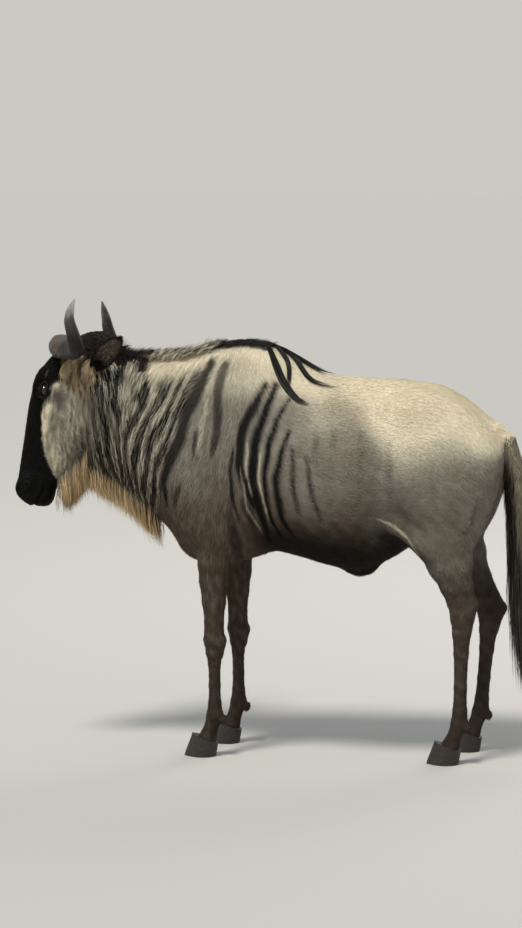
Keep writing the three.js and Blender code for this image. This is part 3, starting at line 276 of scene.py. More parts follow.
def face_details(d, s, side, v):
    """The socket, folds round the eye, nostril, lips and the hollow of the cheek."""
    eye = np.sqrt((s - EYE["s"]) ** 2 + (side - EYE["side"]) ** 2 + (v - EYE["v"]) ** 2)
    rise, run = v - EYE["v"], s - EYE["s"]
    angle = np.arctan2(rise, run)
    ring = np.hypot(rise * 1.25, run)
    near = step_up(side, 40, 60)
    d = groove(d, ring - 36, 4, 2.2, near * step_up(-np.abs(angle + 1.2), -1.3, -0.4))
    d = groove(d, ring - 50, 5, 1.6, near * step_up(-np.abs(angle + 1.0), -1.1, -0.3))
    d = groove(d, ring - 37, 4, 2.0, near * step_up(-np.abs(angle - 1.7), -1.1, -0.4))
    tear = np.hypot(run - 38, (rise + 14) * 1.6)
    d = groove(d, tear, 12, 4.5, near)
    d = meet(d, -(eye - EYE["radius"] - 0.6), 3)
    ns, ny, nv = NOSTRIL["at"]
    hole = ellipsoid_field(-(s - ns), side - ny, v - nv, NOSTRIL["radii"], NOSTRIL["turn"])
    d = groove(d, hole - 7, 5, -3.2, step_up(-hole, -20, -4))
    d = meet(d, -hole, 5)
    lips = step_up(s, MOUTH["corner"][0] - 8, MOUTH["corner"][0] + 12)
    d = groove(d, v - mouth_line(s), 2.6, 7.0, lips)
    d = groove(d, v - mouth_line(s) - 9, 6, -2.2, lips)
    d = groove(d, v - mouth_line(s) + 9, 6, -1.6, lips)
    philtrum = step_up(s, 484, 500) * step_up(v, 20, 34)
    d = groove(d, side, 2.4, 3.0, philtrum)
    return d


def head_field(p, fine=False):
    s, y, v = to_head(p)
    d = section_field(head_at, s, y, v)
    d = meet(d, s - HEAD_ENDS["lips"], HEAD_ENDS["lips_round"])
    d = meet(d, HEAD_ENDS["back"] - s, HEAD_ENDS["back_round"])
    side = np.abs(y)
    for (cs, cy, cv), radii, blend in HEAD_FORMS.values():
        d = join(d, ellipsoid_field(s - cs, side - cy, v - cv, radii), blend)
    if not fine:
        return d
    return face_details(d, s, side, v)


def bone_rows(side, joints):
    rows = []
    for index, (start, end, sections) in enumerate(FORE_BONES if "knee" in joints else HIND_BONES):
        a, b = np.array(joints[start], float), np.array(joints[end], float)
        for share, r, w in sections[1 if index else 0:]:
            at = a + (b - a) * share
            rows.append((at * (1, side, 1), r, w))
    return rows


def cone_field(p, a, b):
    (pa, ra, wa), (pb, rb, wb) = a, b
    axis = np.asarray(pb, float) - pa
    away = p - pa
    t = np.clip(away @ axis / (axis @ axis), 0, 1)
    r, w = ra + (rb - ra) * t, wa + (wb - wa) * t
    away = away - t[:, None] * axis
    return (np.sqrt(away[:, 0] ** 2 + (away[:, 1] * r / w) ** 2 + away[:, 2] ** 2) - r) * np.minimum(1, w / r)


LEG_ROWS = {name: bone_rows(side, joints) for name, (side, joints) in LEGS.items()}


def leg_field(name, p):
    side, joints = LEGS[name]
    rows = LEG_ROWS[name]
    d = np.full(len(p), 1e6)
    for a, b in zip(rows, rows[1:]):
        d = join(d, cone_field(p, a, b), 6)
    if "heel" in joints:
        heel, hock = joints["heel"], joints["hock"]
        calf = rows[2][0]
        end = ((heel[0], heel[1] * side, heel[2]), 15, 14)
        string = ((calf[0] + 22, calf[1], calf[2] - 10), 30, 20)
        base = ((hock[0] + 8, hock[1] * side, hock[2] - 34), 22, 20)
        d = join(d, cone_field(p, string, end), 16)
        d = join(d, cone_field(p, end, base), 14)
        d = join(d, ellipsoid_field(p[:, 0] - hock[0] + 6, p[:, 1] - hock[1] * side, p[:, 2] - hock[2] + 6,
                                    (27, 33, 34)), 14)
    else:
        knee = joints["knee"]
        pad = ((knee[0] + 18, knee[1] * side, knee[2] - 4), 20, 22)
        below = ((knee[0] + 12, knee[1] * side, knee[2] - 44), 14, 16)
        d = join(d, cone_field(p, pad, below), 14)
    fetlock = joints["fetlock"]
    for s in BOTH:
        d = join(d, ellipsoid_field(p[:, 0] - fetlock[0] - DEWCLAW["back"],
                                    p[:, 1] - fetlock[1] * side - s * DEWCLAW["side"],
                                    p[:, 2] - fetlock[2] + DEWCLAW["drop"], DEWCLAW["radii"]), 5)
    coronet = joints["coronet"]
    normal = np.array([-HOOF["slope"], 0, -1]) / math.hypot(HOOF["slope"], 1)
    under = (p - np.array([coronet[0], 0, HOOF["level"] - 6])) @ normal
    return meet(d, under, 5)


def dock_field(p):
    d = np.full(len(p), 1e6)
    for (xa, za, ra), (xb, zb, rb) in zip(DOCK, DOCK[1:]):
        d = join(d, cone_field(p, ((xa, 0, za), ra, ra), ((xb, 0, zb), rb, rb)), 4)
    return d


def where_near(d, p, near, field, blend):
    """Joins a field into d for the points that it can reach."""
    if near.any():
        d[near] = join(d[near], field(p[near]), blend)
    return d


# Beyond these the legs, the head and the tail no longer shape the skin
LEG_TOP = 930
LEG_REACH = 210
HEAD_BACK = -360
TAIL_FRONT = 640


def skin_field(p, fine=False):
    x, y, z = p.T
    d = trunk_field(p) + COAT["body"]
    d = where_near(d, p, x < HEAD_BACK, lambda q: head_field(q, fine) + COAT["face"], 44)
    for name, (side, joints) in LEGS.items():
        near = (z < LEG_TOP) & (y * side > -20) & (np.abs(x - joints["fetlock"][0]) < LEG_REACH)
        d = where_near(d, p, near, lambda q, name=name: leg_field(name, q) + COAT["leg"], 34)
    return where_near(d, p, x > TAIL_FRONT, lambda q: dock_field(q) + COAT["tail"], 20)


def fine_field(p):
    return skin_field(p, fine=True)


# Half the gap over which a field's slope is measured
PROBE = 0.8


def gradient(field, p):
    g = np.empty_like(p)
    for axis in range(3):
        move = np.zeros(3)
        move[axis] = PROBE
        g[:, axis] = field(p + move) - field(p - move)
    return g / (2 * PROBE)


def unit(v):
    return v / np.maximum(np.linalg.norm(v, axis=-1, keepdims=True), 1e-9)


def settle(field, p, rounds, most=6.0):
    """Moves points onto the field's surface, by at most that much in each round."""
    for _ in range(rounds):
        g = gradient(field, p)
        size = np.maximum((g * g).sum(1, keepdims=True), 0.15)
        move = g * (field(p)[:, None] / size)
        length = np.linalg.norm(move, axis=1, keepdims=True)
        p = p - move * np.minimum(1, most / np.maximum(length, 1e-9))
    return p


# Skin: a net over the field's surface, sampled in batches
CORNERS = np.array([(i, j, k) for i in (0, 1) for j in (0, 1) for k in (0, 1)])
EDGES = [(a, b) for a in range(8) for b in range(a + 1, 8) if np.abs(CORNERS[a] - CORNERS[b]).sum() == 1]
BATCH = 400000


def sampled_grid(field, axes):
    shape = tuple(len(a) for a in axes)
    grid = np.stack(np.meshgrid(*axes, indexing="ij"), -1).reshape(-1, 3)
    values = np.empty(len(grid))
    for start in range(0, len(grid), BATCH):
        values[start:start + BATCH] = field(grid[start:start + BATCH])
    return values.reshape(shape)


def crossing_means(values, cells):
    """For each cell, the mean of the points where the surface crosses its edges."""
    at = np.stack([values[tuple((cells + corner).T)] for corner in CORNERS], 1)
    total, crossings = np.zeros((len(cells), 3)), np.zeros(len(cells))
    for a, b in EDGES:
        crossed = (at[:, a] < 0) != (at[:, b] < 0)
        gap = np.where(crossed, at[:, a] - at[:, b], 1)
        t = np.where(crossed, at[:, a] / gap, 0)[:, None]
        total += np.where(crossed[:, None], CORNERS[a] + t * (CORNERS[b] - CORNERS[a]), 0)
        crossings += crossed
    return total / crossings[:, None]


def surface_net(field, low, high, pitch):
    axes = [np.arange(low[i], high[i] + pitch, pitch) for i in range(3)]
    values = sampled_grid(field, axes)
    shape = values.shape
    inside = values < 0
    count = sum(inside[i:shape[0] - 1 + i, j:shape[1] - 1 + j, k:shape[2] - 1 + k].astype(int)
                for i, j, k in CORNERS)
    cells = np.argwhere((count > 0) & (count < 8))
    index = np.full(tuple(n - 1 for n in shape), -1)
    index[tuple(cells.T)] = np.arange(len(cells))
    points = (cells + crossing_means(values, cells)) * pitch + np.array([a[0] for a in axes])
    quads = []
    for axis in range(3):
        u, w = [i for i in range(3) if i != axis]
        lower = np.take(inside, range(shape[axis] - 1), axis)
        upper = np.take(inside, range(1, shape[axis]), axis)
        crossed = np.argwhere(lower != upper)
        place = crossed[:, [u, w]]
        crossed = crossed[((place > 0) & (place < [shape[u] - 1, shape[w] - 1])).all(1)]
        du, dw = np.eye(3, dtype=int)[u], np.eye(3, dtype=int)[w]
        quad = np.stack([index[tuple((crossed - move).T)] for move in (du + dw, dw, 0 * du, du)], 1)
        outward = inside[tuple(crossed.T)]
        flip = outward if axis != 1 else ~outward
        quads.append(np.where(flip[:, None], quad, quad[:, ::-1]))
    return points, np.concatenate(quads)


def relax(field, points, quads, rounds):
    """Evens out the net without letting it leave the surface."""
    edges = np.concatenate([quads[:, [i, (i + 1) % 4]] for i in range(4)])
    edges = np.unique(np.sort(edges, 1), axis=0)
    degree = np.bincount(edges.ravel(), minlength=len(points))[:, None]
    for _ in range(rounds):
        total = np.zeros_like(points)
        for axis in range(3):
            total[:, axis] = (np.bincount(edges[:, 0], points[edges[:, 1], axis], len(points))
                              + np.bincount(edges[:, 1], points[edges[:, 0], axis], len(points)))
        points = settle(field, points + 0.6 * (total / degree - points), rounds=1)
    return points


def refine(points, quads, wanted):
    """Splits the faces whose corners are all wanted, with their neighbours kept joined."""
    mesh = bmesh.new()
    corners = [mesh.verts.new(p) for p in points]
    for quad in quads:
        mesh.faces.new([corners[i] for i in quad])
    mesh.verts.index_update()
    mesh.verts.ensure_lookup_table()
    edges = [e for e in mesh.edges if wanted[e.verts[0].index] and wanted[e.verts[1].index]]
    bmesh.ops.subdivide_edges(mesh, edges=edges, cuts=1, use_grid_fill=True)
    return mesh


def mesh_arrays(mesh):
    mesh.verts.index_update()
    points = np.array([v.co for v in mesh.verts])
    faces = [[v.index for v in f.verts] for f in mesh.faces]
    mesh.free()
    return points, faces


# The net's pitch, the room that it looks through, and where it gets finer: the head, then eyes and muzzle
PITCH = 7.5
ROOM = ((-805, -300, 20), (880, 300, 1340))
HEAD_FRONT_OF = -440
HEAD_HALF_WIDTH = 120
EYE_REACH = 62
MUZZLE_FROM = 418


def skin_mesh():
    points, quads = surface_net(skin_field, *ROOM, PITCH)
    points = settle(skin_field, points, 2)
    points = relax(skin_field, points, quads, 4)
    s, y, v = to_head(points)
    on_head = (points[:, 0] < HEAD_FRONT_OF) & (s > -80) & (np.abs(y) < HEAD_HALF_WIDTH)
    points, faces = mesh_arrays(refine(points, quads, on_head))
    s, y, v = to_head(points)
    eyes = np.hypot(s - EYE["s"], v - EYE["v"]) < EYE_REACH
    fine = (eyes | (s > MUZZLE_FROM)) & (points[:, 0] < HEAD_FRONT_OF)
    points, faces = mesh_arrays(refine(points, faces, fine))
    head = points[:, 0] < HEAD_BACK
    points[head] = settle(fine_field, points[head], 4, most=4.0)
    return points, faces


# Coordinates, shift and packing
def node_middle(name):
    co = np.array([v.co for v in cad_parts[name].data.vertices])
    return np.unique(np.round(co, 6), axis=0).mean(0)


SHIFT = node_middle("eye_left") - from_head(EYE["s"], -EYE["side"], EYE["v"]) * MM
SHIFT[2] = 0


def packed(p):
    return np.asarray(p) * MM + SHIFT


# Noise from a few waves in random directions
def wave_set(seed, count, size):
    draw = np.random.default_rng(seed)
    turns = unit(draw.normal(size=(count, 3))) * (2 * np.pi / size) * draw.uniform(0.6, 1.7, (count, 1))
    return turns, draw.uniform(0, 2 * np.pi, count)


def ripple(p, size, seed, count=7):
    turns, phase = wave_set(seed, count, size)
    return np.sin(p @ turns.T + phase).sum(1) / math.sqrt(count)


# Markings, with painted light and shade among them. Every mask is a share from 0 to 1 at each point of the
# skin.
# The lower edge of the black face: s and v in the head's frame
FACE_EDGE = [(-70, 60), (-20, 32), (40, 28), (75, 28), (106, 24), (130, 36), (158, 55), (170, 62), (195, 66),
             (225, 66), (270, 53), (330, 33), (363, 12), (388, -12), (408, -32), (430, -65), (450, -120),
             (540, -120)]
face_edge = profile([(s, v, 0) for s, v in FACE_EDGE], 1)

# Dark stripes, and painted shade in hollows at the elbow and in front of the shoulder: points along each one,
# x and z, with its half width and its strength
DARK_STRIPES_AND_SHADE = [
    ([(-137, 1235), (-157, 1188), (-189, 1109), (-217, 1030), (-252, 941), (-277, 868), (-276, 806)],
     24, 0.92),
    ([(-96, 1225), (-104, 1159), (-108, 1098), (-104, 1040), (-118, 958)], 19, 0.78),
    ([(-164, 1030), (-171, 986), (-175, 946)], 9, 0.8),
    ([(32, 1165), (6, 1103), (-20, 1047), (-31, 986), (-34, 930), (-17, 868), (12, 801)], 19, 0.97),
    ([(66, 1165), (43, 1092), (23, 1030), (12, 952), (9, 868), (29, 806), (46, 739), (52, 677)], 21, 1.0),
    ([(115, 1126), (75, 1064), (59, 986), (53, 902), (59, 823), (76, 750), (103, 700)], 10, 1.0),
    ([(122, 1030), (97, 963), (85, 902), (91, 840), (108, 761), (134, 711)], 13, 1.0),
    ([(137, 986), (137, 918), (144, 851), (159, 784)], 8, 0.95),
    ([(183, 958), (190, 896), (206, 823), (232, 756)], 7, 0.85),
    ([(206, 1030), (211, 930)], 5, 0.5),
    ([(258, 1047), (258, 986)], 5, 0.45),
    ([(-60, 974), (-62, 896), (-52, 829), (-33, 756)], 8, 0.9),
    # Painted shade in a small hollow in front of the shoulder
    ([(-218, 862), (-230, 823), (-238, 789)], 9, 0.65),
    # Painted shadow between the elbow and the chest
    ([(-62, 770), (-50, 690), (-58, 600)], 20, 0.6),
    # Painted shade in the hollow behind the elbow
    ([(-19, 823), (-2, 778), (10, 728)], 16, 0.75),
    ([(349, 1035), (352, 949), (335, 803)], 7, 0.35),
    ([(423, 1002), (430, 896), (433, 803)], 8, 0.35),
    ([(385, 1107), (392, 1068)], 5, 0.3),
    ([(422, 1124), (409, 1074)], 5, 0.3),
    ([(696, 843), (676, 764), (652, 731)], 7, 0.35),
]

# Painted highlights along the skin's folds behind the elbow, between the shoulder's dark bands and from the
# flank into the stifle, told in the same way
FOLD_HIGHLIGHTS = [
    ([(400, 767), (440, 750), (480, 711), (520, 655)], 5, 0.5),
    ([(-29, 911), (-10, 795), (32, 720)], 4, 0.4),
    ([(-144, 1130), (-150, 1040), (-157, 960)], 6, 0.3),
    ([(-8, 1000), (-12, 900), (8, 830)], 5, 0.4),
    ([(36, 990), (33, 880), (62, 770)], 5, 0.4),
]

# How far the neck's bands lean: x, and millimetres forward for each one of height
LEAN = [(-600, 0), (-520, -0.1), (-480, -0.2), (-330, 0.35), (-230, 0.43), (-130, 0.3), (0, 0.12),
        (100, -0.05)]
lean = profile([(x, k, 0) for x, k in LEAN], 1)


def neck_edge(p):
    """Below about 0 in front of the shoulder, where the hair is long; above it behind."""
    return p[:, 0] - 0.4 * (p[:, 2] - 1000) + 225


def segment_away(x, z, a, b):
    axis = np.array(b, float) - a
    t = np.clip(((x - a[0]) * axis[0] + (z - a[1]) * axis[1]) / (axis @ axis), 0, 1)
    return np.hypot(x - a[0] - t * axis[0], z - a[1] - t * axis[1]), t


def line_share(x, z, lines):
    """How much a point belongs to any of the lines, each of which thins out towards its ends."""
    share = np.zeros(len(x))
    for points, half, strength in lines:
        for i, (a, b) in enumerate(zip(points, points[1:])):
            away, t = segment_away(x, z, a, b)
            along = (i + t) / (len(points) - 1)
            width = half * np.sqrt(np.maximum(np.sin(np.pi * np.clip(0.12 + 0.8 * along, 0, 1)), 0))
            share = np.maximum(share, strength * (1 - step_up(away, width * 0.45, width * 1.3)))
    return share


def light_crest(x):
    """1 where the mane's roots are cream, 0 where they are black."""
    return step_up(x, -410, -350) * (1 - step_up(x, -170, -135))


def stripes_shade_and_highlights(p):
    """Shares of the shoulder's and flank's dark bands with the painted shade among them, and of the painted
    highlights along the folds.
    """
    x, y, z = p.T
    side = np.stack([x, 0 * y, z], 1)
    x = x + 3 * ripple(side, 110, 3) + np.where(y > 0, 14 * ripple(p, 260, 4), 0)
    x = x + 1.2 * ripple(side * (1, 1, 0.3), 24, 8)
    return line_share(x, z, DARK_STRIPES_AND_SHADE), line_share(x, z, FOLD_HIGHLIGHTS)


def neck_share(p):
    """The brindle of the neck: broad dark bands, with fine streaks in and between them."""
    x, z = p[:, 0], p[:, 2]
    top, bottom = trunk_at["top"](x), trunk_at["bottom"](x)
    q = x - lean(x) * (z - 1000)
    region = step_up(x, -600, -500) * (1 - step_up(neck_edge(p), -25, 20))
    region = region * (1 - step_up(z - top, -75, -35))
    drift = 2.3 * ripple(p * (1, 1, 0.25), 120, 6)
    broad = step_up(np.sin(2 * np.pi * q / 40 + drift), -0.6, 0.25)
    fine = step_up(np.sin(2 * np.pi * q / 10.5 + 3.0 * ripple(p * (1, 1, 0.2), 60, 7)), -0.5, 0.4)
    low = 1 - step_up(z - bottom, 70, 230)
    dark = 0.58 * broad + 0.62 * fine * (0.5 + 0.5 * broad) + 0.35 * low * (0.4 + 0.6 * fine)
    return region * np.clip(dark, 0, 0.98), region * (1 - 0.7 * broad) * (1 - fine)


def body_shares(p, n):
    """Black, pale, buff and brown shares of the trunk, neck, legs and tail."""
    x, y, z = p.T
    top, bottom = trunk_at["top"](x), trunk_at["bottom"](x)
    t = (z - bottom) / (top - bottom)
    patch = ripple(p, 240, 12)
    streak = ripple(p * (1, 1, 0.2), 15, 13)
    rear = step_up(x, 60, 400)
    rump = step_up(x, 320, 480)
    legs = 1 - step_up(z, 520, 720)
    stripes_and_shade, fold_highlights = stripes_shade_and_highlights(p)
    dark, light = neck_share(p)
    front = 1 - step_up(x, -100, 160)

    # Pale rises towards the top of the trunk and over the rump: partly the coat's own colour, partly painted
    # light from above
    pale = step_up(t + 0.05 * patch, 0.68 - 0.3 * rump, 1.0 - 0.24 * rump) * (1 - 0.25 * front)
    band = step_up(z - top, -80, -25) * step_up(x, -430, -330) * (1 - step_up(x, 0, 90))
    pale = np.maximum(np.maximum(pale, 0.9 * band), np.maximum(fold_highlights, 0.55 * light))
    pale = pale * (1 - legs) * (1 - 0.12 * front * np.clip(streak, 0, 1))
    # Brown thickens towards the bottom of the trunk: partly the coat's own colour, partly painted shade of
    # the lower body
    brown = 0.95 * (1 - step_up(t + 0.04 * patch, 0.08, 0.8 - 0.2 * rump)) * (1 - 0.55 * rump)
    brown = np.maximum(brown, 0.9 * legs) + 0.1 * ripple(p, 42, 11) + 0.14 * front * streak
    croup = step_up(x, 430, 560) * step_up(t, 0.78, 0.95)
    brown = brown * (1 - 0.7 * fold_highlights) + 0.28 * croup * np.clip(ripple(p, 24, 15), 0, 1)
    buff = 0.12 * step_up(t, 0.7, 1.0) + 0.12 * rear * step_up(t, 0.5, 0.9)

    middle = step_up(x, -20, 70) * (1 - step_up(x, 440, 530))
    # The belly's black is partly its dark hair and partly painted shade under the body; under blackens every
    # face that looks down
    belly = (1 - step_up(t + 0.02 * patch, 0.02, 0.27)) * middle
    under = step_up(-n[:, 2], 0.1, 0.7) * step_up(x, -60, 60) * (1 - step_up(x, 480, 600))
    # hollow: painted shade inside the fold between the flank and the thigh, kept off the fold's painted
    # highlight
    hollow = 0.5 * np.exp(-((x - 442) / 70) ** 2 - ((z - 680) / 62) ** 2) * (1 - fold_highlights)
    crest = step_up(z - top, -28, -8) * step_up(x, -560, -500) * (1 - step_up(x, -20, 40))
    crest = crest * (1 - light_crest(x))
    black = np.maximum(np.maximum(stripes_and_shade, dark), 0.93 * np.maximum(belly, under))
    black = np.maximum(np.maximum(black, hollow), 0.93 * crest) * (1 - fold_highlights)
    black = np.maximum(black, 0.3 * legs + 0.3 * (1 - step_up(z, 120, 470)))
    tail = (x > 745) & (np.abs(y) < 40) & (z < 1010)
    black = np.where(tail, step_up(np.maximum(1000 - z, 0), 20, 200) * 0.85, black)
    return np.stack([black, pale, buff, brown], 1)


def head_shares(p):
    """Black, pale, buff and brown shares of the head."""
    s, _, v = to_head(p)
    grain = ripple(p, 42, 11)
    streak = ripple(p * (1, 1, 0.2), 13, 21)
    edge = face_edge(s)
    eye = np.hypot((s - EYE["s"]) / 1.2, v - EYE["v"])
    face = np.maximum(step_up(v - edge + 2.2 * ripple(p, 15, 14), -5, 5), 1 - step_up(eye, 20, 28))
    along, across = (134 - s) * 0.75 + (45 - v) * 0.66, (s - 134) * 0.66 - (v - 45) * 0.75
    spot = np.exp(-(along / 17) ** 2 - (across / 8) ** 2)
    # brow: a painted highlight on the brow above the eye, which takes black away and adds pale
    brow = 0.2 * np.exp(-((s - 110) / 9) ** 2 - ((v - 87) / 3) ** 2)
    cream = np.exp(-((v - edge + 14) / 15) ** 2) * step_up(s, 180, 205) * (1 - step_up(s, 270, 350))
    lower = np.exp(-((s - 345) / 30) ** 2 - ((v + 10) / 26) ** 2)
    light_band = np.exp(-((p[:, 0] + 535 + 0.1 * (p[:, 2] - 1060)) / 14) ** 2) * step_up(s, 120, 150)
    temple = step_up(s, 30, 52) * (1 - step_up(s, 100, 150)) * (1 - step_up(v, 18, 40)) * step_up(v, -95, -60)
    smudge = np.exp(-((s - 112) / 12) ** 2 - ((v - 19) / 10) ** 2)
    below_eye = np.exp(-((s - 168) / 22) ** 2 - ((v - 30) / 20) ** 2)
    jaw_back = step_up(-v, 30, 90) * step_up(s, 60, 120)
    dark_poll = 0.95 * (1 - step_up(s, 22, 42)) * step_up(v, -90, -62)
    dark_streak = step_up(streak, 0.2, 1.1) * (0.36 + 0.4 * jaw_back + 0.4 * temple)
    black = np.maximum(np.maximum(face, dark_poll), np.maximum(dark_streak, 0.45 * smudge + 0.28 * below_eye))
    black = black * (1 - 0.96 * spot) * (1 - brow)
    pale = 0.12 + 0.9 * cream + 0.3 * lower + spot + brow + 0.35 * light_band + 0.1 * grain
    pale = pale - 0.3 * below_eye - 0.3 * jaw_back + 0.2 * np.clip(-streak, 0, 2)
    buff = 0.42 * temple + 0.05 * cream + 0.12 * lower
    brown = 0.2 + 0.12 * grain + 0.35 * below_eye + 0.45 * jaw_back
    return np.stack([black, pale, buff, brown], 1)


def head_share(p):
    """1 on the head, 0 on the neck, with a soft change where they meet."""
    return np.where(p[:, 0] < HEAD_BACK, step_up(trunk_field(p) - head_field(p), -18, 26), 0)


def marks_and_painted_light(p, n):
    """Black, pale, buff and brown shares of points with their normals."""
    on_head = head_share(p)[:, None]
    return np.clip(body_shares(p, n) * (1 - on_head) + head_shares(p) * on_head, 0, 1)


def hairy_zone(roots, ends, n):
    """Marks and painted light at both ends of each tuft, so that a dark stripe keeps a clean edge."""
    first, last = marks_and_painted_light(roots, n), marks_and_painted_light(ends, n)
    return np.stack([first, (first + last) / 2, last], 1)


# The lie of the coat: which way hair points at each place
def lie_of(p, n):
    x, z = p[:, 0], p[:, 2]
    v = to_head(p)[2]
    top, bottom = trunk_at["top"](x), trunk_at["bottom"](x)
    t = np.clip((z - bottom) / (top - bottom), 0, 1)
    on_head = head_share(p)
    neck = 1 - step_up(x, -160, 280)
    drop = (0.35 + 0.75 * neck) * (1 - step_up(t, 0.9, 1.0) * (1 - neck))
    drop = drop + 0.5 * step_up(x, 520, 720)
    way = np.stack([0.9 - neck * (0.9 + lean(x)), 0 * x, -drop], 1)
    legs = 1 - step_up(z, 600, 780)
    way = way * (1 - legs)[:, None] + legs[:, None] * np.array([0.12, 0, -1])
    nose = from_head(0, 0, 0) - from_head(1, 0, 0)
    cheek = step_up(-v, -40, 20)
    face_way = nose * (1 - cheek)[:, None] + cheek[:, None] * np.array([0.3, 0, -0.95])
    way = way * (1 - on_head)[:, None] + face_way * on_head[:, None]
    turn = np.stack([ripple(p, 190, seed) for seed in (31, 32, 33)], 1)
    way = unit(way) + 0.12 * turn
    way = way - n * (way * n).sum(1, keepdims=True)
    return unit(way)


# Unwrap of the skin's own shape, in strips of cylinders. For each strip: its start and its width
STRIPS = dict(trunk=(0.01, 0.55), head=(0.58, 0.2), legs=(0.8, 0.14), tail=(0.96, 0.03))


def turned(a, b):
    """Where a point lies round an axis, as a share of a whole turn."""
    return np.arctan2(a, b) / (2 * np.pi) + 0.5


def strip(name, along):
    start, width = STRIPS[name]
    return start + width * np.clip(along, 0, 1)


def unwrap(p):
    x, y, z = p.T
    s, hy, v = to_head(p)
    u, w = strip("trunk", (x + 600) / 1380), turned(y, z - trunk_at["widest"](x))
    head = (x < HEAD_BACK) & (head_field(p) < trunk_field(p))
    u = np.where(head, strip("head", (s + 90) / 640), u)
    w = np.where(head, turned(hy, v), w)
    for i, (side, joints) in enumerate(LEGS.values()):
        middle = joints["knee" if "knee" in joints else "hock"]
        leg = (z < 640) & (y * side > 0) & (np.abs(x - middle[0]) < 190)
        u = np.where(leg, strip("legs", z / 640), u)
        w = np.where(leg, (i + 0.04 + 0.92 * turned(y - middle[1] * side, x - middle[0])) / 4, w)
    tail = (x > 765) & (np.abs(y) < 60)
    u = np.where(tail, strip("tail", 1 - z / 1040), u)
    w = np.where(tail, turned(y, x - 800), w)
    return np.stack([np.clip(u, PATCH, 1 - PATCH), np.clip(w, PATCH, 1 - PATCH)], 1)


# Mesh objects from arrays
def new_object(name, points, faces, material, zone=None, fine=None, uv=None, smooth=True):
    """points are in millimetres of the bull's frame; faces are lists or an array of equal rows."""
    mesh = bpy.data.meshes.new(name)
    points = packed(points)
    if isinstance(faces, list):
        sizes = np.array([len(f) for f in faces])
        corners = np.concatenate([np.asarray(f) for f in faces])
    else:
        sizes = np.full(len(faces), faces.shape[1])
        corners = faces.ravel()
    mesh.vertices.add(len(points))
    mesh.vertices.foreach_set("co", points.astype(np.float32).ravel())
    mesh.loops.add(len(corners))
    mesh.loops.foreach_set("vertex_index", corners.astype(np.int32))
    mesh.polygons.add(len(sizes))
    mesh.polygons.foreach_set("loop_start", np.concatenate([[0], np.cumsum(sizes)[:-1]]).astype(np.int32))
    if smooth:
        mesh.polygons.foreach_set("use_smooth", np.ones(len(sizes), bool))
    for label, values in (("Zone", zone), ("Fine", fine)):
        if values is not None:
            layer = mesh.attributes.new(label, "FLOAT_COLOR", "POINT")
            layer.data.foreach_set("color", values.astype(np.float32).ravel())
    if uv is not None:
        layer = mesh.uv_layers.new(name="OFBake")
        layer.data.foreach_set("uv", uv[corners].astype(np.float32).ravel())
    mesh.materials.append(material)
    mesh.update()
    mesh.validate()
    made = bpy.data.objects.new(name, mesh)
    bpy.context.scene.collection.objects.link(made)
    return made


# Size of each tuft's patch in the unwrap
PATCH = 0.003


class Coat:
    """Tufts gathered into one piece. Each is a flat blade along a path, and ends in a point."""

    def __init__(self, name, material, slot):
        self.name, self.material, self.slot = name, material, slot
        self.points, self.faces, self.zone, self.fine, self.uv = [], [], [], [], []
        self.count = 0

    def add(self, paths, half, across, zone, tone, roots):
        """paths is tufts x rows x 3, half the half width of each row, across the way the blade is wide."""
        number, rows, _ = paths.shape
        left = paths[:, :-1] + across[:, :-1] * half[:, :-1, None]
        right = paths[:, :-1] - across[:, :-1] * half[:, :-1, None]
        points = np.concatenate([np.stack([left, right], 2).reshape(number, -1, 3), paths[:, -1:]], 1)
        each = points.shape[1]
        faces = []
        for i in range(rows - 2):
            a, b, c, d = 2 * i, 2 * i + 1, 2 * i + 3, 2 * i + 2
            faces += [(a, b, c), (a, c, d)]
        faces.append((2 * rows - 4, 2 * rows - 3, 2 * rows - 2))
        faces = (np.arange(number)[:, None, None] * each + np.array(faces)[None] + self.count).reshape(-1, 3)
        along = np.append(np.repeat(np.linspace(0, 1, rows)[:-1], 2), 1.0)
        fine = np.ones((number, each, 4))
        fine[:, :, 0] = tone[:, None]
        fine[:, :, 1] = along[None]
        fine[:, :, 2] = rng.random(number)[:, None]
        if zone.ndim == 2:
            zone = np.repeat(zone[:, None], rows, 1)
        zones = np.concatenate([np.repeat(zone[:, :-1], 2, 1), zone[:, -1:]], 1)
        side = np.append(np.tile([-0.5, 0.5], rows - 1), 0.0)
        uv = unwrap(roots)[:, None] + (np.stack([side, along - 0.5], 1) * PATCH)[None]
        self.points.append(points.reshape(-1, 3))
        self.faces.append(faces)
        self.zone.append(zones.reshape(-1, 4))
        self.fine.append(fine.reshape(-1, 4))
        self.uv.append(np.clip(uv, 0.0005, 0.9995).reshape(-1, 2))
        self.count += number * each

    def finish(self):
        piece = new_object(self.name, np.concatenate(self.points), np.concatenate(self.faces), self.material,
                           np.concatenate(self.zone), np.concatenate(self.fine), np.concatenate(self.uv))
        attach(piece, "root")


class Ground:
    """The skin's triangles, to draw roots from."""

    def __init__(self, points, faces):
        tris = []
        for f in faces:
            tris += [(f[0], f[i], f[i + 1]) for i in range(1, len(f) - 1)]
        self.points = points
        self.tris = np.array(tris)
        a, b, c = (points[self.tris[:, i]] for i in range(3))
        self.area = np.linalg.norm(np.cross(b - a, c - a), axis=1) / 2
        self.middle = (a + b + c) / 3

    def roots(self, count, weight):
        chance = self.area * weight(self.middle)
        pick = rng.choice(len(chance), count, p=chance / chance.sum())
        u, w = rng.random(count), rng.random(count)
        over = u + w > 1
        u, w = np.where(over, 1 - u, u)[:, None], np.where(over, 1 - w, w)[:, None]
        a, b, c = (self.points[self.tris[pick, i]] for i in range(3))
        return a + u * (b - a) + w * (c - a)


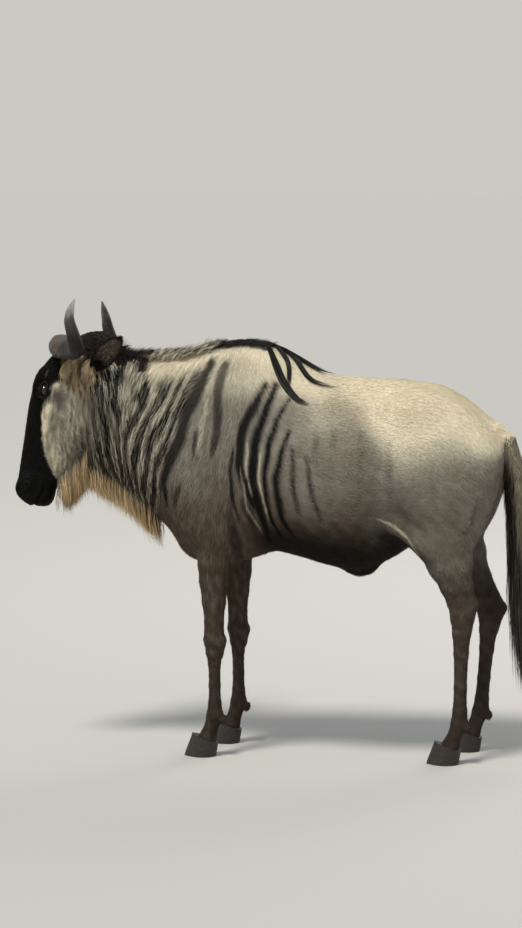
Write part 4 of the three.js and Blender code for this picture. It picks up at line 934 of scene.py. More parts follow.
# Tufts, strands and locks
def push_out(paths, normals, clear, most=16):
    """Lifts each row after the first clear of the skin, by at most that much."""
    for row in range(1, paths.shape[1]):
        short = clear - skin_field(paths[:, row])
        paths[:, row] += normals * np.clip(short, 0, most)[:, None]
    return paths


def nearest(points, centres):
    picked = np.empty(len(points), int)
    for start in range(0, len(points), 2000):
        gap = ((points[start:start + 2000, None] - centres[None]) ** 2).sum(2)
        picked[start:start + 2000] = gap.argmin(1)
    return picked


def lying_tufts(coat, roots, length, half, lift, jitter=0.14, sag=0.0, both_ends=False):
    """Tufts that lie along the coat. lift is how steeply they leave the skin; sag pulls the tips down."""
    n = unit(gradient(skin_field, roots))
    way = unit(lie_of(roots, n) + jitter * rng.normal(size=roots.shape))
    count, rows = len(roots), 3
    length = length * rng.uniform(0.75, 1.25, count)
    t = np.linspace(0, 1, rows)
    rise = lift * np.sin(np.minimum(t * 2.2, np.pi * 0.72))
    offset = way[:, None] * t[None, :, None] + n[:, None] * rise[None, :, None]
    paths = roots[:, None] + length[:, None, None] * offset
    paths[:, :, 2] -= sag * length[:, None] * (t ** 2)[None]
    paths = push_out(paths, n, 1.2, 12)
    across = unit(np.cross(way, n))[:, None] * np.ones((1, rows, 1))
    width = np.broadcast_to(half, count)[:, None] * (1 - t ** 2.2)[None] * rng.uniform(0.8, 1.2, (count, 1))
    zone = hairy_zone(roots, paths[:, -1], n) if both_ends else marks_and_painted_light(roots, n)
    coat.add(paths, width, across, zone, rng.random(count), roots)


def strands(coat, roots, first, last, length, half, rows, clumps, wave, normals, pull=0.6, zone=None,
            clear=1.5, jitter=0.1, twist=0.45):
    """Long hair: each strand sets off one way, bends to another, and gathers with its neighbours."""
    count, n = len(roots), normals
    first = unit(np.broadcast_to(first, (count, 3)) + jitter * rng.normal(size=(count, 3)))
    last = unit(np.broadcast_to(last, (count, 3)) + 0.6 * jitter * rng.normal(size=(count, 3)))
    length = length * rng.uniform(0.72, 1.15, count)
    t = np.linspace(0, 1, rows)
    bend = first[:, None] * (t - t * t / 2)[None, :, None] + last[:, None] * (t * t / 2)[None, :, None]
    paths = roots[:, None] + length[:, None, None] * bend
    leaders = rng.choice(count, clumps, replace=False)
    group = leaders[nearest(roots, roots[leaders])]
    paths = paths + (paths[group] - paths) * (pull * t ** 1.2)[None, :, None]
    across = unit(np.cross(unit(paths[:, -1] - paths[:, 0]), n + 1e-4))
    swing = np.sin(rng.uniform(0, 6.28, count)[:, None] + 5.5 * t[None]) * t[None] * wave
    paths = push_out(paths + across[:, None] * swing[..., None], n, clear)
    taper = np.minimum(1, 0.55 + 2 * t) * (1 - t ** 2.4)
    width = half * taper[None] * rng.uniform(0.8, 1.2, (count, 1))
    zone = marks_and_painted_light(roots, n) if zone is None else zone
    tone = rng.random(count)
    turn = twist * rng.normal(size=(count, 1))
    across = across * np.cos(turn) + n * np.sin(turn)
    coat.add(paths, width, across[:, None] * np.ones((1, rows, 1)), zone, tone, roots)


def curve_at(stops, count):
    """Even points on a smooth curve through the stops."""
    stops = np.asarray(stops, float)
    ends = np.vstack([2 * stops[0] - stops[1], stops, 2 * stops[-1] - stops[-2]])
    t = np.linspace(0, len(stops) - 1, count)
    i = np.minimum(t.astype(int), len(stops) - 2)
    t = (t - i)[:, None]
    a, b, c, d = ends[i], ends[i + 1], ends[i + 2], ends[i + 3]
    square = (2 * a - 5 * b + 4 * c - d) * t ** 2
    return 0.5 * (2 * b + (c - a) * t + square + (3 * b - a - 3 * c + d) * t ** 3)


# The long locks' rows, half width of a strand, room over the skin and thickness
LOCK = dict(rows=9, half=1.0, clear=4.5, loft=7)


def lock_of(coat, stops, width, count, zone):
    """A long lock: strands that share one smooth path, gather, and part again into thin tips."""
    rows = LOCK["rows"]
    guide = curve_at(stops, rows)
    n = unit(gradient(skin_field, guide))
    across = unit(np.cross(unit(np.gradient(guide, axis=0)), n))
    t = np.linspace(0, 1, rows)
    spread = (width / 2) * np.minimum(1, 0.5 + 2 * t) * (1 - 0.75 * t ** 2)
    share = rng.uniform(-1, 1, count)
    rise = rng.uniform(0, 1, count)
    reach = rng.uniform(0.6, 1.0, count)

    def along(values):
        return np.stack([np.interp(reach * k, t, values) for k in t], 1)

    paths = np.empty((count, rows, 3))
    for axis in range(3):
        proud = along(LOCK["loft"] * n[:, axis] * (1 - 0.6 * t))
        wide = along(spread * across[:, axis])
        paths[:, :, axis] = along(guide[:, axis]) + share[:, None] * wide + rise[:, None] * proud
    paths += rng.normal(size=(count, 1, 3)) * 2.6 * (t ** 1.5)[None, :, None]
    for row in range(1, rows):
        short = LOCK["clear"] + 3 * rise - skin_field(paths[:, row])
        paths[:, row] += n[row] * np.clip(short, 0, 20)[:, None]
    taper = np.minimum(1, 0.6 + 2 * t) * (1 - t ** 2.6)
    widths = LOCK["half"] * taper[None] * rng.uniform(0.8, 1.25, (count, 1))
    turn = rng.uniform(-1.3, 1.3, count)[:, None, None]
    blades = across[None] * np.cos(turn) + n[None] * np.sin(turn)
    coat.add(paths, widths, blades, np.broadcast_to(zone, (count, 4)), rng.random(count), paths[:, 0])


# Materials
def linear(r, g, b):
    """A colour read off a photograph, 0 to 255, as the renderer's linear colour."""
    return tuple(((c / 255 + 0.055) / 1.055) ** 2.4 if c > 10 else c / 3295 for c in (r, g, b)) + (1.0,)


COLOURS = {
    "taupe": linear(152, 148, 134),
    "cream": linear(238, 228, 200),
    "buff": linear(214, 180, 124),
    "brown": linear(88, 74, 60),
    "black": linear(11, 11, 11),
    "hide": linear(110, 100, 90),
}


class Tree:
    """Node building in few words."""

    def __init__(self, name):
        self.material = bpy.data.materials.new(name)
        self.material.use_nodes = True
        self.nodes = self.material.node_tree.nodes
        self.links = self.material.node_tree.links
        self.shader = next(n for n in self.nodes if n.type == "BSDF_PRINCIPLED")

    def put(self, socket, value):
        if isinstance(value, bpy.types.NodeSocket):
            self.links.new(value, socket)
        else:
            socket.default_value = value

    def blend(self, share, a, b, kind="MIX"):
        made = self.nodes.new("ShaderNodeMix")
        made.data_type = "RGBA"
        made.blend_type = kind
        for place, value in ((0, share), (6, a), (7, b)):
            self.put(made.inputs[place], value)
        return made.outputs[2]

    def add(self, a, b):
        made = self.nodes.new("ShaderNodeMath")
        made.operation = "ADD"
        self.put(made.inputs[0], a)
        self.put(made.inputs[1], b)
        return made.outputs[0]

    def noise(self, scale, detail=3.0, stretch=None):
        made = self.nodes.new("ShaderNodeTexNoise")
        made.inputs["Scale"].default_value = scale
        made.inputs["Detail"].default_value = detail
        place = self.nodes.new("ShaderNodeTexCoord").outputs["Object"]
        if stretch:
            turn = self.nodes.new("ShaderNodeMapping")
            turn.inputs["Scale"].default_value = stretch
            self.links.new(place, turn.inputs["Vector"])
            place = turn.outputs[0]
        self.links.new(place, made.inputs["Vector"])
        return made.outputs["Fac"]

    def span(self, value, low, high, to_low=0.0, to_high=1.0):
        made = self.nodes.new("ShaderNodeMapRange")
        self.put(made.inputs["Value"], value)
        limits = (("From Min", low), ("From Max", high), ("To Min", to_low), ("To Max", to_high))
        for label, limit in limits:
            made.inputs[label].default_value = limit
        return made.outputs[0]

    def attribute(self, name):
        made = self.nodes.new("ShaderNodeAttribute")
        made.attribute_name = name
        split = self.nodes.new("ShaderNodeSeparateColor")
        self.links.new(made.outputs["Color"], split.inputs[0])
        return split.outputs[0], split.outputs[1], split.outputs[2], made.outputs["Alpha"]

    def bump(self, height, strength, distance):
        made = self.nodes.new("ShaderNodeBump")
        made.inputs["Strength"].default_value = strength
        made.inputs["Distance"].default_value = distance
        self.put(made.inputs["Height"], height)
        self.links.new(made.outputs[0], self.shader.inputs["Normal"])

    def set(self, **inputs):
        for name, value in inputs.items():
            self.put(self.shader.inputs[name.replace("_", " ")], value)
        return self.material


def colour_of_marks_and_painted_light(tree):
    """The coat's colour from its marks, its painted light and its painted shade, with a little patchiness."""
    black, pale, buff, brown = tree.attribute("Zone")
    patch = tree.noise(9.0)
    ground = tree.blend(tree.span(patch, 0.35, 0.65, 0.0, 0.35), COLOURS["taupe"], COLOURS["brown"])
    ground = tree.blend(brown, ground, COLOURS["brown"])
    ground = tree.blend(pale, ground, COLOURS["cream"])
    ground = tree.blend(buff, ground, COLOURS["buff"])
    return tree.blend(black, ground, COLOURS["black"])


def skin_material():
    tree = Tree("hide")
    colour = colour_of_marks_and_painted_light(tree)
    grain = tree.noise(420.0, stretch=(1.0, 1.0, 0.35))
    colour = tree.blend(tree.span(grain, 0.3, 0.7, 0.0, 0.35), colour, COLOURS["hide"], "MULTIPLY")
    tree.bump(grain, 0.5, 0.002)
    return tree.set(Base_Color=colour, Roughness=0.7, Specular_IOR_Level=0.1)


def hair_material(name, rough, gloss, low_tone, high_tone):
    """low_tone and high_tone are how dark and how light single tufts may be."""
    tree = Tree(name)
    colour = colour_of_marks_and_painted_light(tree)
    tone, along, chance, _ = tree.attribute("Fine")
    light = tree.add(tree.span(tone, 0, 1, low_tone, high_tone), tree.span(along, 0, 1, -0.18, 0.12))
    shade = tree.nodes.new("ShaderNodeCombineColor")
    for socket in shade.inputs:
        tree.links.new(light, socket)
    colour = tree.blend(1.0, colour, shade.outputs[0], "MULTIPLY")
    colour = tree.blend(tree.span(chance, 0.8, 1.0, 0.0, 0.2), colour, COLOURS["brown"])
    return tree.set(Base_Color=colour, Roughness=rough, Specular_IOR_Level=gloss)


def horn_material():
    tree = Tree("horn")
    black, pale, buff, _ = tree.attribute("Zone")
    rings = tree.noise(60.0, 5.0)
    colour = tree.blend(pale, linear(60, 57, 53), linear(168, 166, 152))
    colour = tree.blend(buff, colour, linear(92, 81, 68))
    colour = tree.blend(black, colour, linear(19, 17, 16))
    colour = tree.blend(tree.span(rings, 0.4, 0.7, 0.0, 0.4), colour, linear(36, 32, 28))
    tree.bump(rings, 0.5, 0.0018)
    return tree.set(Base_Color=colour, Roughness=0.5, Specular_IOR_Level=0.3)


def hoof_material():
    tree = Tree("hoof")
    grain = tree.noise(70.0, 4.0, (1.0, 1.0, 6.0))
    colour = tree.blend(tree.span(grain, 0.35, 0.65), linear(24, 21, 19), linear(52, 46, 40))
    tree.bump(grain, 0.3, 0.001)
    return tree.set(Base_Color=colour, Roughness=0.5)


def eye_material():
    tree = Tree("eye")
    pupil, iris, rim, _ = tree.attribute("Zone")
    colour = tree.blend(iris, linear(22, 16, 13), linear(34, 20, 12))
    colour = tree.blend(pupil, colour, linear(4, 4, 6))
    colour = tree.blend(rim, colour, linear(10, 8, 7))
    return tree.set(Base_Color=colour, Roughness=0.07, Coat_Weight=0.5, Coat_Roughness=0.03)


# Horns, ears, lids, eyes and claws
def tube(stops, radii, sides, bumps):
    """A closed tube with bumps on its rings, its ends drawn to a point."""
    ahead = unit(np.gradient(stops, axis=0))
    across = np.array([0.0, 1.0, 0.0])
    rings = []
    for i, at in enumerate(stops):
        across = unit(across - ahead[i] * (across @ ahead[i]))
        up = np.cross(ahead[i], across)
        angle = np.linspace(0, 2 * np.pi, sides, endpoint=False)[:, None]
        rings.append(at + radii[i] * (across * np.cos(angle) + up * np.sin(angle)))
    rings = np.stack(rings)
    rings = rings + unit(rings - stops[:, None]) * bumps(rings)[..., None]
    points = np.concatenate([rings.reshape(-1, 3), stops[:1] - ahead[:1], stops[-1:] + ahead[-1:] * 2])
    return points, ring_faces(len(stops), sides)


def ring_faces(rows, sides):
    faces = []
    for i in range(rows - 1):
        for k in range(sides):
            a, b = i * sides + k, i * sides + (k + 1) % sides
            faces.append([a, b, b + sides, a + sides])
    first, last = rows * sides, rows * sides + 1
    for k in range(sides):
        following = (k + 1) % sides
        faces.append([first, following, k])
        faces.append([last, (rows - 1) * sides + k, (rows - 1) * sides + following])
    return faces


def make_horn(side, material):
    rows = [(i,) + row for i, row in enumerate(HORN)]
    count, sides = 120, 48
    t = np.linspace(0, len(HORN) - 1, count)
    s, y, v, r = (profile(rows, i + 1)(t) for i in range(4))
    stops = from_head(s, y * side, v)
    share = t / t[-1]

    def bumps(rings):
        flat = rings.reshape(-1, 3)
        worn = (1 - step_up(share, 0.25, 0.55))[:, None]
        rough = ripple(flat, 26, 51, 12).reshape(rings.shape[:2]) * worn
        growth = np.sin(share * 95 + 0.9 * rough.mean(1)) * 0.28 * (1 - step_up(share, 0.45, 0.7))
        return 1.5 * rough + growth[:, None]

    points, faces = tube(stops, r, sides, bumps)
    along = np.concatenate([np.repeat(share, sides), [0, 1]])
    zone = np.zeros((len(points), 4))
    zone[:, 1] = 0.9 * step_up(along, 0.7, 1.0)
    zone[:, 2] = 0.75 * (1 - step_up(along, 0.3, 0.42))
    dark = 0.93 * (step_up(along, 0.33, 0.45) * (1 - step_up(along, 0.62, 0.86)))
    # Painted shade: the far horn, turned away from the light, is blacker from its middle on
    far_horn_shade = (0.35 if side > 0 else 0) * step_up(along, 0.3, 0.5)
    zone[:, 0] = np.clip(dark + 0.14 * ripple(points, 60, 53) + far_horn_shade, 0, 1)
    name = "left" if side < 0 else "right"
    horn = new_object("horns_" + name, points, faces, material, zone)
    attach(horn, "root")
    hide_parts("horn_" + name)


def ear_shell(side):
    """The ear's cup: a leaf whose edges curl towards each other at the root."""
    root = from_head(EAR["root"][0], EAR["root"][1] * side, EAR["root"][2])
    tip = from_head(EAR_TIPS[side][0], EAR_TIPS[side][1] * side, EAR_TIPS[side][2])
    length = np.linalg.norm(tip - root)
    ahead = (tip - root) / length
    open_way = HEAD_TURN @ np.array([-0.25, side * 0.95, -0.2])
    open_way = unit(open_way - ahead * (open_way @ ahead))
    across = np.cross(ahead, open_way)
    rows, cols = 36, 17
    u = np.linspace(0, 1, rows)[:, None]
    half = EAR["half"] * np.sin(np.pi * (0.17 + 0.815 * u ** 0.85)) ** 0.8
    curl = EAR["curl_root"] + (EAR["curl_tip"] - EAR["curl_root"]) * u ** 0.7
    a = np.linspace(-1, 1, cols)[None]
    radius = half / curl
    middle = root + ahead * (length * u[..., None]) - 14 * np.sin(np.pi * u)[..., None] * open_way
    wall = EAR["wall"] * (1 - 0.4 * u) * (1 - 0.35 * a * a) / 2

    def place(out):
        r = (radius + out)[..., None]
        return middle + across * (r * np.sin(a * curl)[..., None]) + open_way * (
            radius[..., None] - r * np.cos(a * curl)[..., None])

    outer, inner = place(wall), place(-wall)
    rings = np.concatenate([outer, inner[:, ::-1]], 1)
    points = np.concatenate([rings.reshape(-1, 3), [rings[0].mean(0)], [rings[-1].mean(0)]])
    edge = np.concatenate([np.abs(a), np.abs(a)], 1) * np.ones_like(u)
    inside = np.concatenate([0 * a, 0 * a + 1], 1) * np.ones_like(u)
    along = u * np.ones_like(edge)
    return dict(points=points, faces=ring_faces(rows, 2 * cols), edge=edge, inside=inside, along=along,
                ahead=ahead, open_way=open_way)


def ear_zone(inside, edge, along, streak):
    """Black rim, tip and base; dark brown between, with paler streaks inside."""
    dark = step_up(edge, 0.7, 0.94) + step_up(along, 0.72, 0.94) + (1 - step_up(along, 0.08, 0.26))
    dark = np.clip(dark, 0, 1)
    black = np.maximum(0.93 * dark, 0.5)
    light = streak & (inside > 0.5)
    pale = np.where(light, 0.62 * (1 - dark), 0.0)
    black = np.where(light, black * (0.2 + 0.8 * dark), black)
    return np.clip(np.stack([black, pale, 0.08 + 0 * dark, 0.6 + 0 * dark], -1), 0, 1)


def lid_ring(side):
    """Lids: an almond-shaped rim round the eye, heavier above."""
    count, sides = 64, 12
    angle = np.linspace(0, 2 * np.pi, count, endpoint=False)
    ds = 25 * np.cos(angle)
    dv = np.where(np.sin(angle) > 0, 12.5, 11) * np.sin(angle) - 0.16 * ds
    deep = np.sqrt(np.maximum(0, (EYE["radius"] + 3.0) ** 2 - np.minimum(ds * ds, 340) - dv * dv))
    r = 4.0 + 1.4 * step_up(np.sin(angle), -0.2, 0.6)
    at = from_head(EYE["s"] + ds, side * (EYE["side"] + deep - 1.0), EYE["v"] + dv)
    centre = from_head(EYE["s"], side * EYE["side"], EYE["v"])
    ahead = unit(np.roll(at, -1, 0) - np.roll(at, 1, 0))
    out = at - centre
    out = unit(out - ahead * (out * ahead).sum(1, keepdims=True))
    across = np.cross(ahead, out)
    turn = np.linspace(0, 2 * np.pi, sides, endpoint=False)
    points = at[:, None] + r[:, None, None] * (out[:, None] * np.cos(turn)[None, :, None]
                                               + across[:, None] * np.sin(turn)[None, :, None])
    faces = []
    for i in range(count):
        for k in range(sides):
            a, b = i * sides + k, i * sides + (k + 1) % sides
            c, d = (b + sides) % (count * sides), (a + sides) % (count * sides)
            faces.append([a, b, c, d])
    return points.reshape(-1, 3), faces


def make_eye(side, material):
    centre = from_head(EYE["s"], side * EYE["side"], EYE["v"])
    gaze = unit(HEAD_TURN @ np.array([0.12, side * 1.0, 0.1]))
    level = unit(HEAD_TURN @ np.array([1.0, 0, 0.16]))
    level = unit(level - gaze * (level @ gaze))
    rise = np.cross(gaze, level)
    rows, sides = 72, 96
    polar = np.linspace(0, np.pi, rows + 2)[1:-1][:, None]
    turn = np.linspace(0, 2 * np.pi, sides, endpoint=False)[None]
    radius = EYE["radius"] - 0.3
    reach = radius * (1 + 0.05 * np.exp(-(polar / 0.5) ** 2))[..., None]
    round_way = (np.sin(polar) * np.cos(turn))[..., None] * level
    round_way = round_way + (np.sin(polar) * np.sin(turn))[..., None] * rise
    ring = centre + reach * (np.cos(polar)[..., None] * gaze + round_way)
    points = np.concatenate([ring.reshape(-1, 3), [centre + radius * 1.05 * gaze], [centre - radius * gaze]])
    flat = (points - centre) / EYE["radius"]
    a, b, c = flat @ level, flat @ rise, flat @ gaze
    zone = np.zeros((len(points), 4))
    zone[:, 0] = (1 - step_up(np.hypot(a / 2.1, b) - 0.14, -0.02, 0.03)) * (c > 0)
    away = np.hypot(a, b)
    zone[:, 1] = (1 - step_up(away, 0.62, 0.7)) * (c > 0)
    zone[:, 2] = np.exp(-((away - 0.66) / 0.05) ** 2)
    name = "left" if side < 0 else "right"
    eye = new_object("eyeball_" + name, points, ring_faces(rows, sides), material, zone)
    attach(eye, "root")
    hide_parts("eye_" + name)


def make_claw(name, half, material):
    side, joints = LEGS[name]
    cx, cy = joints["coronet"][0], joints["coronet"][1] * side
    count, rows = 28, 14
    angle = np.linspace(0, np.pi, count)
    c, s = np.cos(angle), np.sin(angle)
    reach = np.where(c < 0, HOOF["toe"], HOOF["heel"])
    narrow = np.where(c < 0, 1 - 0.5 * c * c, 1 - 0.12 * c * c)
    rings = []
    for u in np.linspace(0, 1, rows):
        top = HOOF["height"] * np.ones(count)
        for _ in range(6):
            rise = u * top / HOOF["height"]
            size = HOOF["flare"] + (0.98 - HOOF["flare"]) * np.minimum(1, rise)
            size = size * (0.975 + 0.025 * min(1, u * 6))
            x = cx - 14 + 15 * rise + c * reach * size * 0.86
            top = HOOF["level"] - HOOF["slope"] * (x - cx) - 0.2
        y = cy + half * (HOOF["cleft"] / 2 + s * HOOF["half"] * size * narrow)
        ridge = 0.35 * np.sin(u * 40) * s * (0.02 < u < 0.98)
        rings.append(np.stack([x, y + half * ridge, u * top], 1))
    rings = np.stack(rings)
    sole = rings[0].mean(0) * (1, 1, 0)
    points = np.concatenate([rings.reshape(-1, 3), [sole], [rings[-1].mean(0)]])
    faces = ring_faces(rows, count)
    if half > 0:
        faces = [face[::-1] for face in faces]
    label = name + ("_outer" if half * side > 0 else "_inner")
    claw = new_object("claw_" + label, points, faces, material, smooth=False)
    claw.data.set_sharp_from_angle(angle=math.radians(35))
    claw.data.polygons.foreach_set("use_smooth", np.ones(len(claw.data.polygons), bool))
    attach(claw, "root")
    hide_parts("hoof_" + label)


# The skin object: trunk, head, legs, tail, ears and lids in one mesh
def make_skin(material):
    points, faces = skin_mesh()
    ground = Ground(points, faces)
    shells = []
    ears = {side: ear_shell(side) for side in BOTH}
    for side, ear in ears.items():
        shade = np.zeros((len(ear["points"]), 4))
        plain = np.zeros(ear["inside"].shape, bool)
        shade[:-2] = ear_zone(ear["inside"], ear["edge"], ear["along"], plain).reshape(-1, 4)
        shade[-2:] = shade[0]
        shells.append((ear["points"], ear["faces"], shade))
        rim, rim_faces = lid_ring(side)
        shells.append((rim, rim_faces, np.tile([0.97, 0, 0, 0], (len(rim), 1))))
    all_points, all_faces = [points], list(faces)
    all_zone = [marks_and_painted_light(points, unit(gradient(skin_field, points)))]
    offset = len(points)
    for shape, shell_faces, shade in shells:
        all_points.append(shape)
        all_faces += [[i + offset for i in face] for face in shell_faces]
        all_zone.append(shade)
        offset += len(shape)
    all_points, all_zone = np.concatenate(all_points), np.concatenate(all_zone)
    skin = new_object("skin", all_points, all_faces, material, all_zone, uv=unwrap(all_points))
    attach(skin, "root")
    names = ["head", "neck", "torso", "tail", "ear_left", "ear_right"]
    names += ["leg_%s_%s" % (leg, part) for leg in LEGS for part in ("upper", "lower")]
    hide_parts(*names)
    return ground, ears


# Where each kind of hair grows, as weights over the skin's triangles
def on_face(p):
    """1 on the head, 0 on the neck, by which of the two fields is nearer."""
    return np.where(p[:, 0] < HEAD_BACK, step_up(trunk_field(p) - head_field(p), -10, 30), 0)


def off_eye(p):
    """0 on the eye, in the nostril and at the lips' edge, where no hair grows."""
    s, _, v = to_head(p)
    behind = 200 * (p[:, 0] > HEAD_FRONT_OF)
    eye = np.hypot((s - EYE["s"]) / 1.35, v - EYE["v"]) + behind
    nostril = np.hypot(s - NOSTRIL["at"][0], (v - NOSTRIL["at"][2]) * 1.4) + behind
    lips = np.where(s > 470, step_up(s, 470, 505), 0)
    return step_up(eye, 19, 24) * step_up(nostril, 14, 26) * (1 - 0.95 * lips)


def body_weight(p):
    x, y, z = p.T
    legs = 1 - step_up(z, 560, 640)
    neck = (1 - step_up(neck_edge(p), -40, 50)) * 0.5
    tail = (x > 775) & (np.abs(y) < 40)
    return (1 - on_face(p)) * (1 - legs) * (1 - neck) * ~tail


def neck_weight(p):
    z = p[:, 2]
    return (1 - on_face(p)) * (1 - step_up(neck_edge(p), -10, 70)) * step_up(z, 640, 720)


def leg_weight(p):
    z = p[:, 2]
    tail = (p[:, 0] > 775) & (np.abs(p[:, 1]) < 40)
    return (1 - step_up(z, 580, 650)) * ~tail * (0.8 + 0.5 * (1 - step_up(z, 200, 500)))


def face_weight(p):
    return on_face(p) * off_eye(p)


def cheek_weight(p):
    s, _, v = to_head(p)
    return on_face(p) * step_up(s, -40, 0) * (1 - step_up(s, 280, 330)) * (1 - step_up(v, -24, 10))


def temple_weight(p):
    s, _, v = to_head(p)
    near = on_face(p) * step_up(s, 10, 26) * (1 - step_up(s, 52, 72))
    return near * step_up(v, -80, -50) * (1 - step_up(v, 8, 26))


def chin_weight(p):
    s, _, v = to_head(p)
    low = 1 - step_up(v - head_at["bottom"](s), 8, 26)
    return low * step_up(s, 262, 300) * (1 - step_up(s, 400, 418)) * on_face(p)


def throat_weight(p):
    x, y, z = p.T
    low = 1 - step_up(z - trunk_at["bottom"](x), 14, 40)
    return low * (x > -575) * (1 - step_up(x, -350, -318)) * (1 - on_face(p)) * (np.abs(y) < 60)


def poll_weight(p):
    s, y, v = to_head(p)
    return on_face(p) * step_up(v, -75, -50) * (1 - step_up(s, 0, 26)) * (np.abs(y) < 72)


def crest_weight(p):
    x, y, z = p.T
    near = step_up(z - trunk_at["top"](x), -26, -8)
    return near * (np.abs(y) < 34) * step_up(x, -560, -520) * (1 - step_up(x, 0, 40)) * (1 - on_face(p))


def fall_weight(p):
    x, z = p[:, 0], p[:, 2]
    high = step_up(z - trunk_at["top"](x), -95, -60)
    return high * step_up(x, -540, -500) * (1 - step_up(x, -380, -330)) * (1 - on_face(p))


def tail_weight(p):
    return ((p[:, 0] > 762) & (np.abs(p[:, 1]) < 44) & (p[:, 2] < 1010)).astype(float)


# How many tufts grow in each part of the coat, and how many clumps the longer ones gather in
TUFTS = dict(trunk=50500, neck=19000, face=44000, cheeks=10000, temple=2600, legs=48000, crest=4600,
             fall=3000, throat=4600, chin=3200, poll=2600, ear=3400, tail=5200, tassel=2200, lashes=60)
CLUMPS = dict(neck=2400, cheeks=700, temple=130, crest=700, fall=240, throat=330, chin=220, poll=260,
              tail=200, tassel=90)
DOWN = np.array([0, 0, -1.0])


def grown(ground, part, weight):
    """Roots of one part's tufts on the skin, and the skin's normals there."""
    roots = ground.roots(TUFTS[part], weight)
    return roots, unit(gradient(skin_field, roots))


def flat_zone(count, black, pale=0.0, buff=0.0, brown=0.0, vary=0.06):
    """One colour for all, with a little chance in each tuft."""
    zone = np.tile([black, pale, buff, brown], (count, 1)).astype(float)
    return np.clip(zone + vary * rng.normal(size=zone.shape), 0, 1)


def root_fade(zone, rows, grey):
    """Lets hair start in the grey of the coat and turn to its own colour further out."""
    own = step_up(np.linspace(0, 1, rows), 0.05, 0.5)[None, :, None]
    return zone[:, None] * own + np.array([0.12, grey, 0.1, 0.3]) * (1 - own)


def body_coat(ground, material):
    for name, low, high in (("shoulder", -700, 130), ("flank", 130, 450), ("rump", 450, 900)):
        coat = Coat("coat_" + name, material, "coat")

        def weight(p):
            return body_weight(p) * (p[:, 0] > low) * (p[:, 0] <= high)

        roots = ground.roots(TUFTS["trunk"], weight)
        length = 14 + 5 * (1 - step_up(roots[:, 0], 0, 200))
        lying_tufts(coat, roots, length, 0.95, 0.08, sag=0.03, jitter=0.1, both_ends=name != "rump")
        coat.finish()


def neck_coat(ground, material):
    for name, side in (("left", -1), ("right", 1)):
        coat = Coat("coat_neck_" + name, material, "coat")
        roots, n = grown(ground, "neck", lambda p: neck_weight(p) * (p[:, 1] * side >= 0))
        way = lie_of(roots, n)
        low = 1 - 0.45 * step_up(roots[:, 2], 1120, 1230)
        shag = (1 - step_up(neck_edge(roots), -120, 40)) * low
        last = way + np.array([0.0, 0, -0.35]) + 0.02 * n
        strands(coat, roots, way + 0.18 * n, last, 20 + 36 * shag, 0.9, 5, CLUMPS["neck"], 2.0, n, pull=0.45,
                clear=1.4, twist=0.3)
        coat.finish()


def face_coat(ground, material):
    coat = Coat("coat_face", material, "face")
    roots = ground.roots(TUFTS["face"], face_weight)
    muzzle = step_up(to_head(roots)[0], 330, 470)
    lying_tufts(coat, roots, 9 - 3.5 * muzzle, 0.6 - 0.2 * muzzle, 0.08)
    coat.finish()
    coat = Coat("coat_cheeks", material, "face")
    roots, n = grown(ground, "cheeks", cheek_weight)
    way = lie_of(roots, n)
    strands(coat, roots, way + 0.2 * n, way + np.array([0.1, 0, -0.6]), 32, 0.8, 5, CLUMPS["cheeks"], 2.0, n)
    temple_tuft(coat, ground)
    coat.finish()


def temple_tuft(coat, ground):
    """The tuft under the ear: it sweeps forward and curls down over the cheek."""
    roots, n = grown(ground, "temple", temple_weight)
    count = len(roots)
    dark = step_up(np.sin(roots[:, 0] / 5 + 2 * ripple(roots, 40, 63)), 0.1, 0.8)
    zone = flat_zone(count, 0.0, 0.35, 0.45, 0.3, 0.08)
    zone[:, 0] = np.clip(0.05 + 0.8 * dark, 0, 0.9)
    first = np.array([-0.85, 0, 0.05]) + 0.35 * n
    strands(coat, roots, first, (0.3, 0, -1.0), 96, 0.9, 8, CLUMPS["temple"], 4.0, n, zone=zone)


def leg_coat(ground, material):
    coat = Coat("coat_legs", material, "leg_coat")
    roots = ground.roots(TUFTS["legs"], leg_weight)
    upper = step_up(roots[:, 2], 300, 560)
    lying_tufts(coat, roots, 9 + 6 * upper, 0.75 + 0.2 * upper, 0.07)
    coat.finish()


# The left side's long locks: points along each one, its width and its strands. The right's differ a little
LONG_LOCKS = [
    ([(23, -9, 1280), (51, -56, 1238), (78, -97, 1190), (102, -121, 1160), (132, -145, 1130),
      (160, -157, 1116), (183, -161, 1112)], 24, 120),
    ([(50, -8, 1274), (93, -50, 1232), (105, -100, 1185), (102, -121, 1160)], 16, 60),
    ([(63, -8, 1269), (111, -19, 1240), (146, -69, 1202), (176, -92, 1178), (216, -98, 1166),
      (276, -108, 1159)], 16, 80),
    ([(22, -1, 1284), (75, -1, 1264), (129, -9, 1233), (176, -13, 1208), (219, -35, 1191)], 22, 100),
    ([(-476, -50, 1193), (-475, -69, 1154), (-466, -81, 1121), (-455, -88, 1094), (-444, -94, 1069)], 16, 70),
    ([(-442, -28, 1223), (-454, -61, 1176), (-457, -78, 1133), (-449, -88, 1097), (-434, -96, 1060)], 16, 70),
    ([(-318, -4, 1240), (-347, -16, 1256), (-376, -38, 1230), (-384, -62, 1186), (-374, -84, 1140),
      (-361, -102, 1098), (-358, -112, 1050)], 13, 70),
]


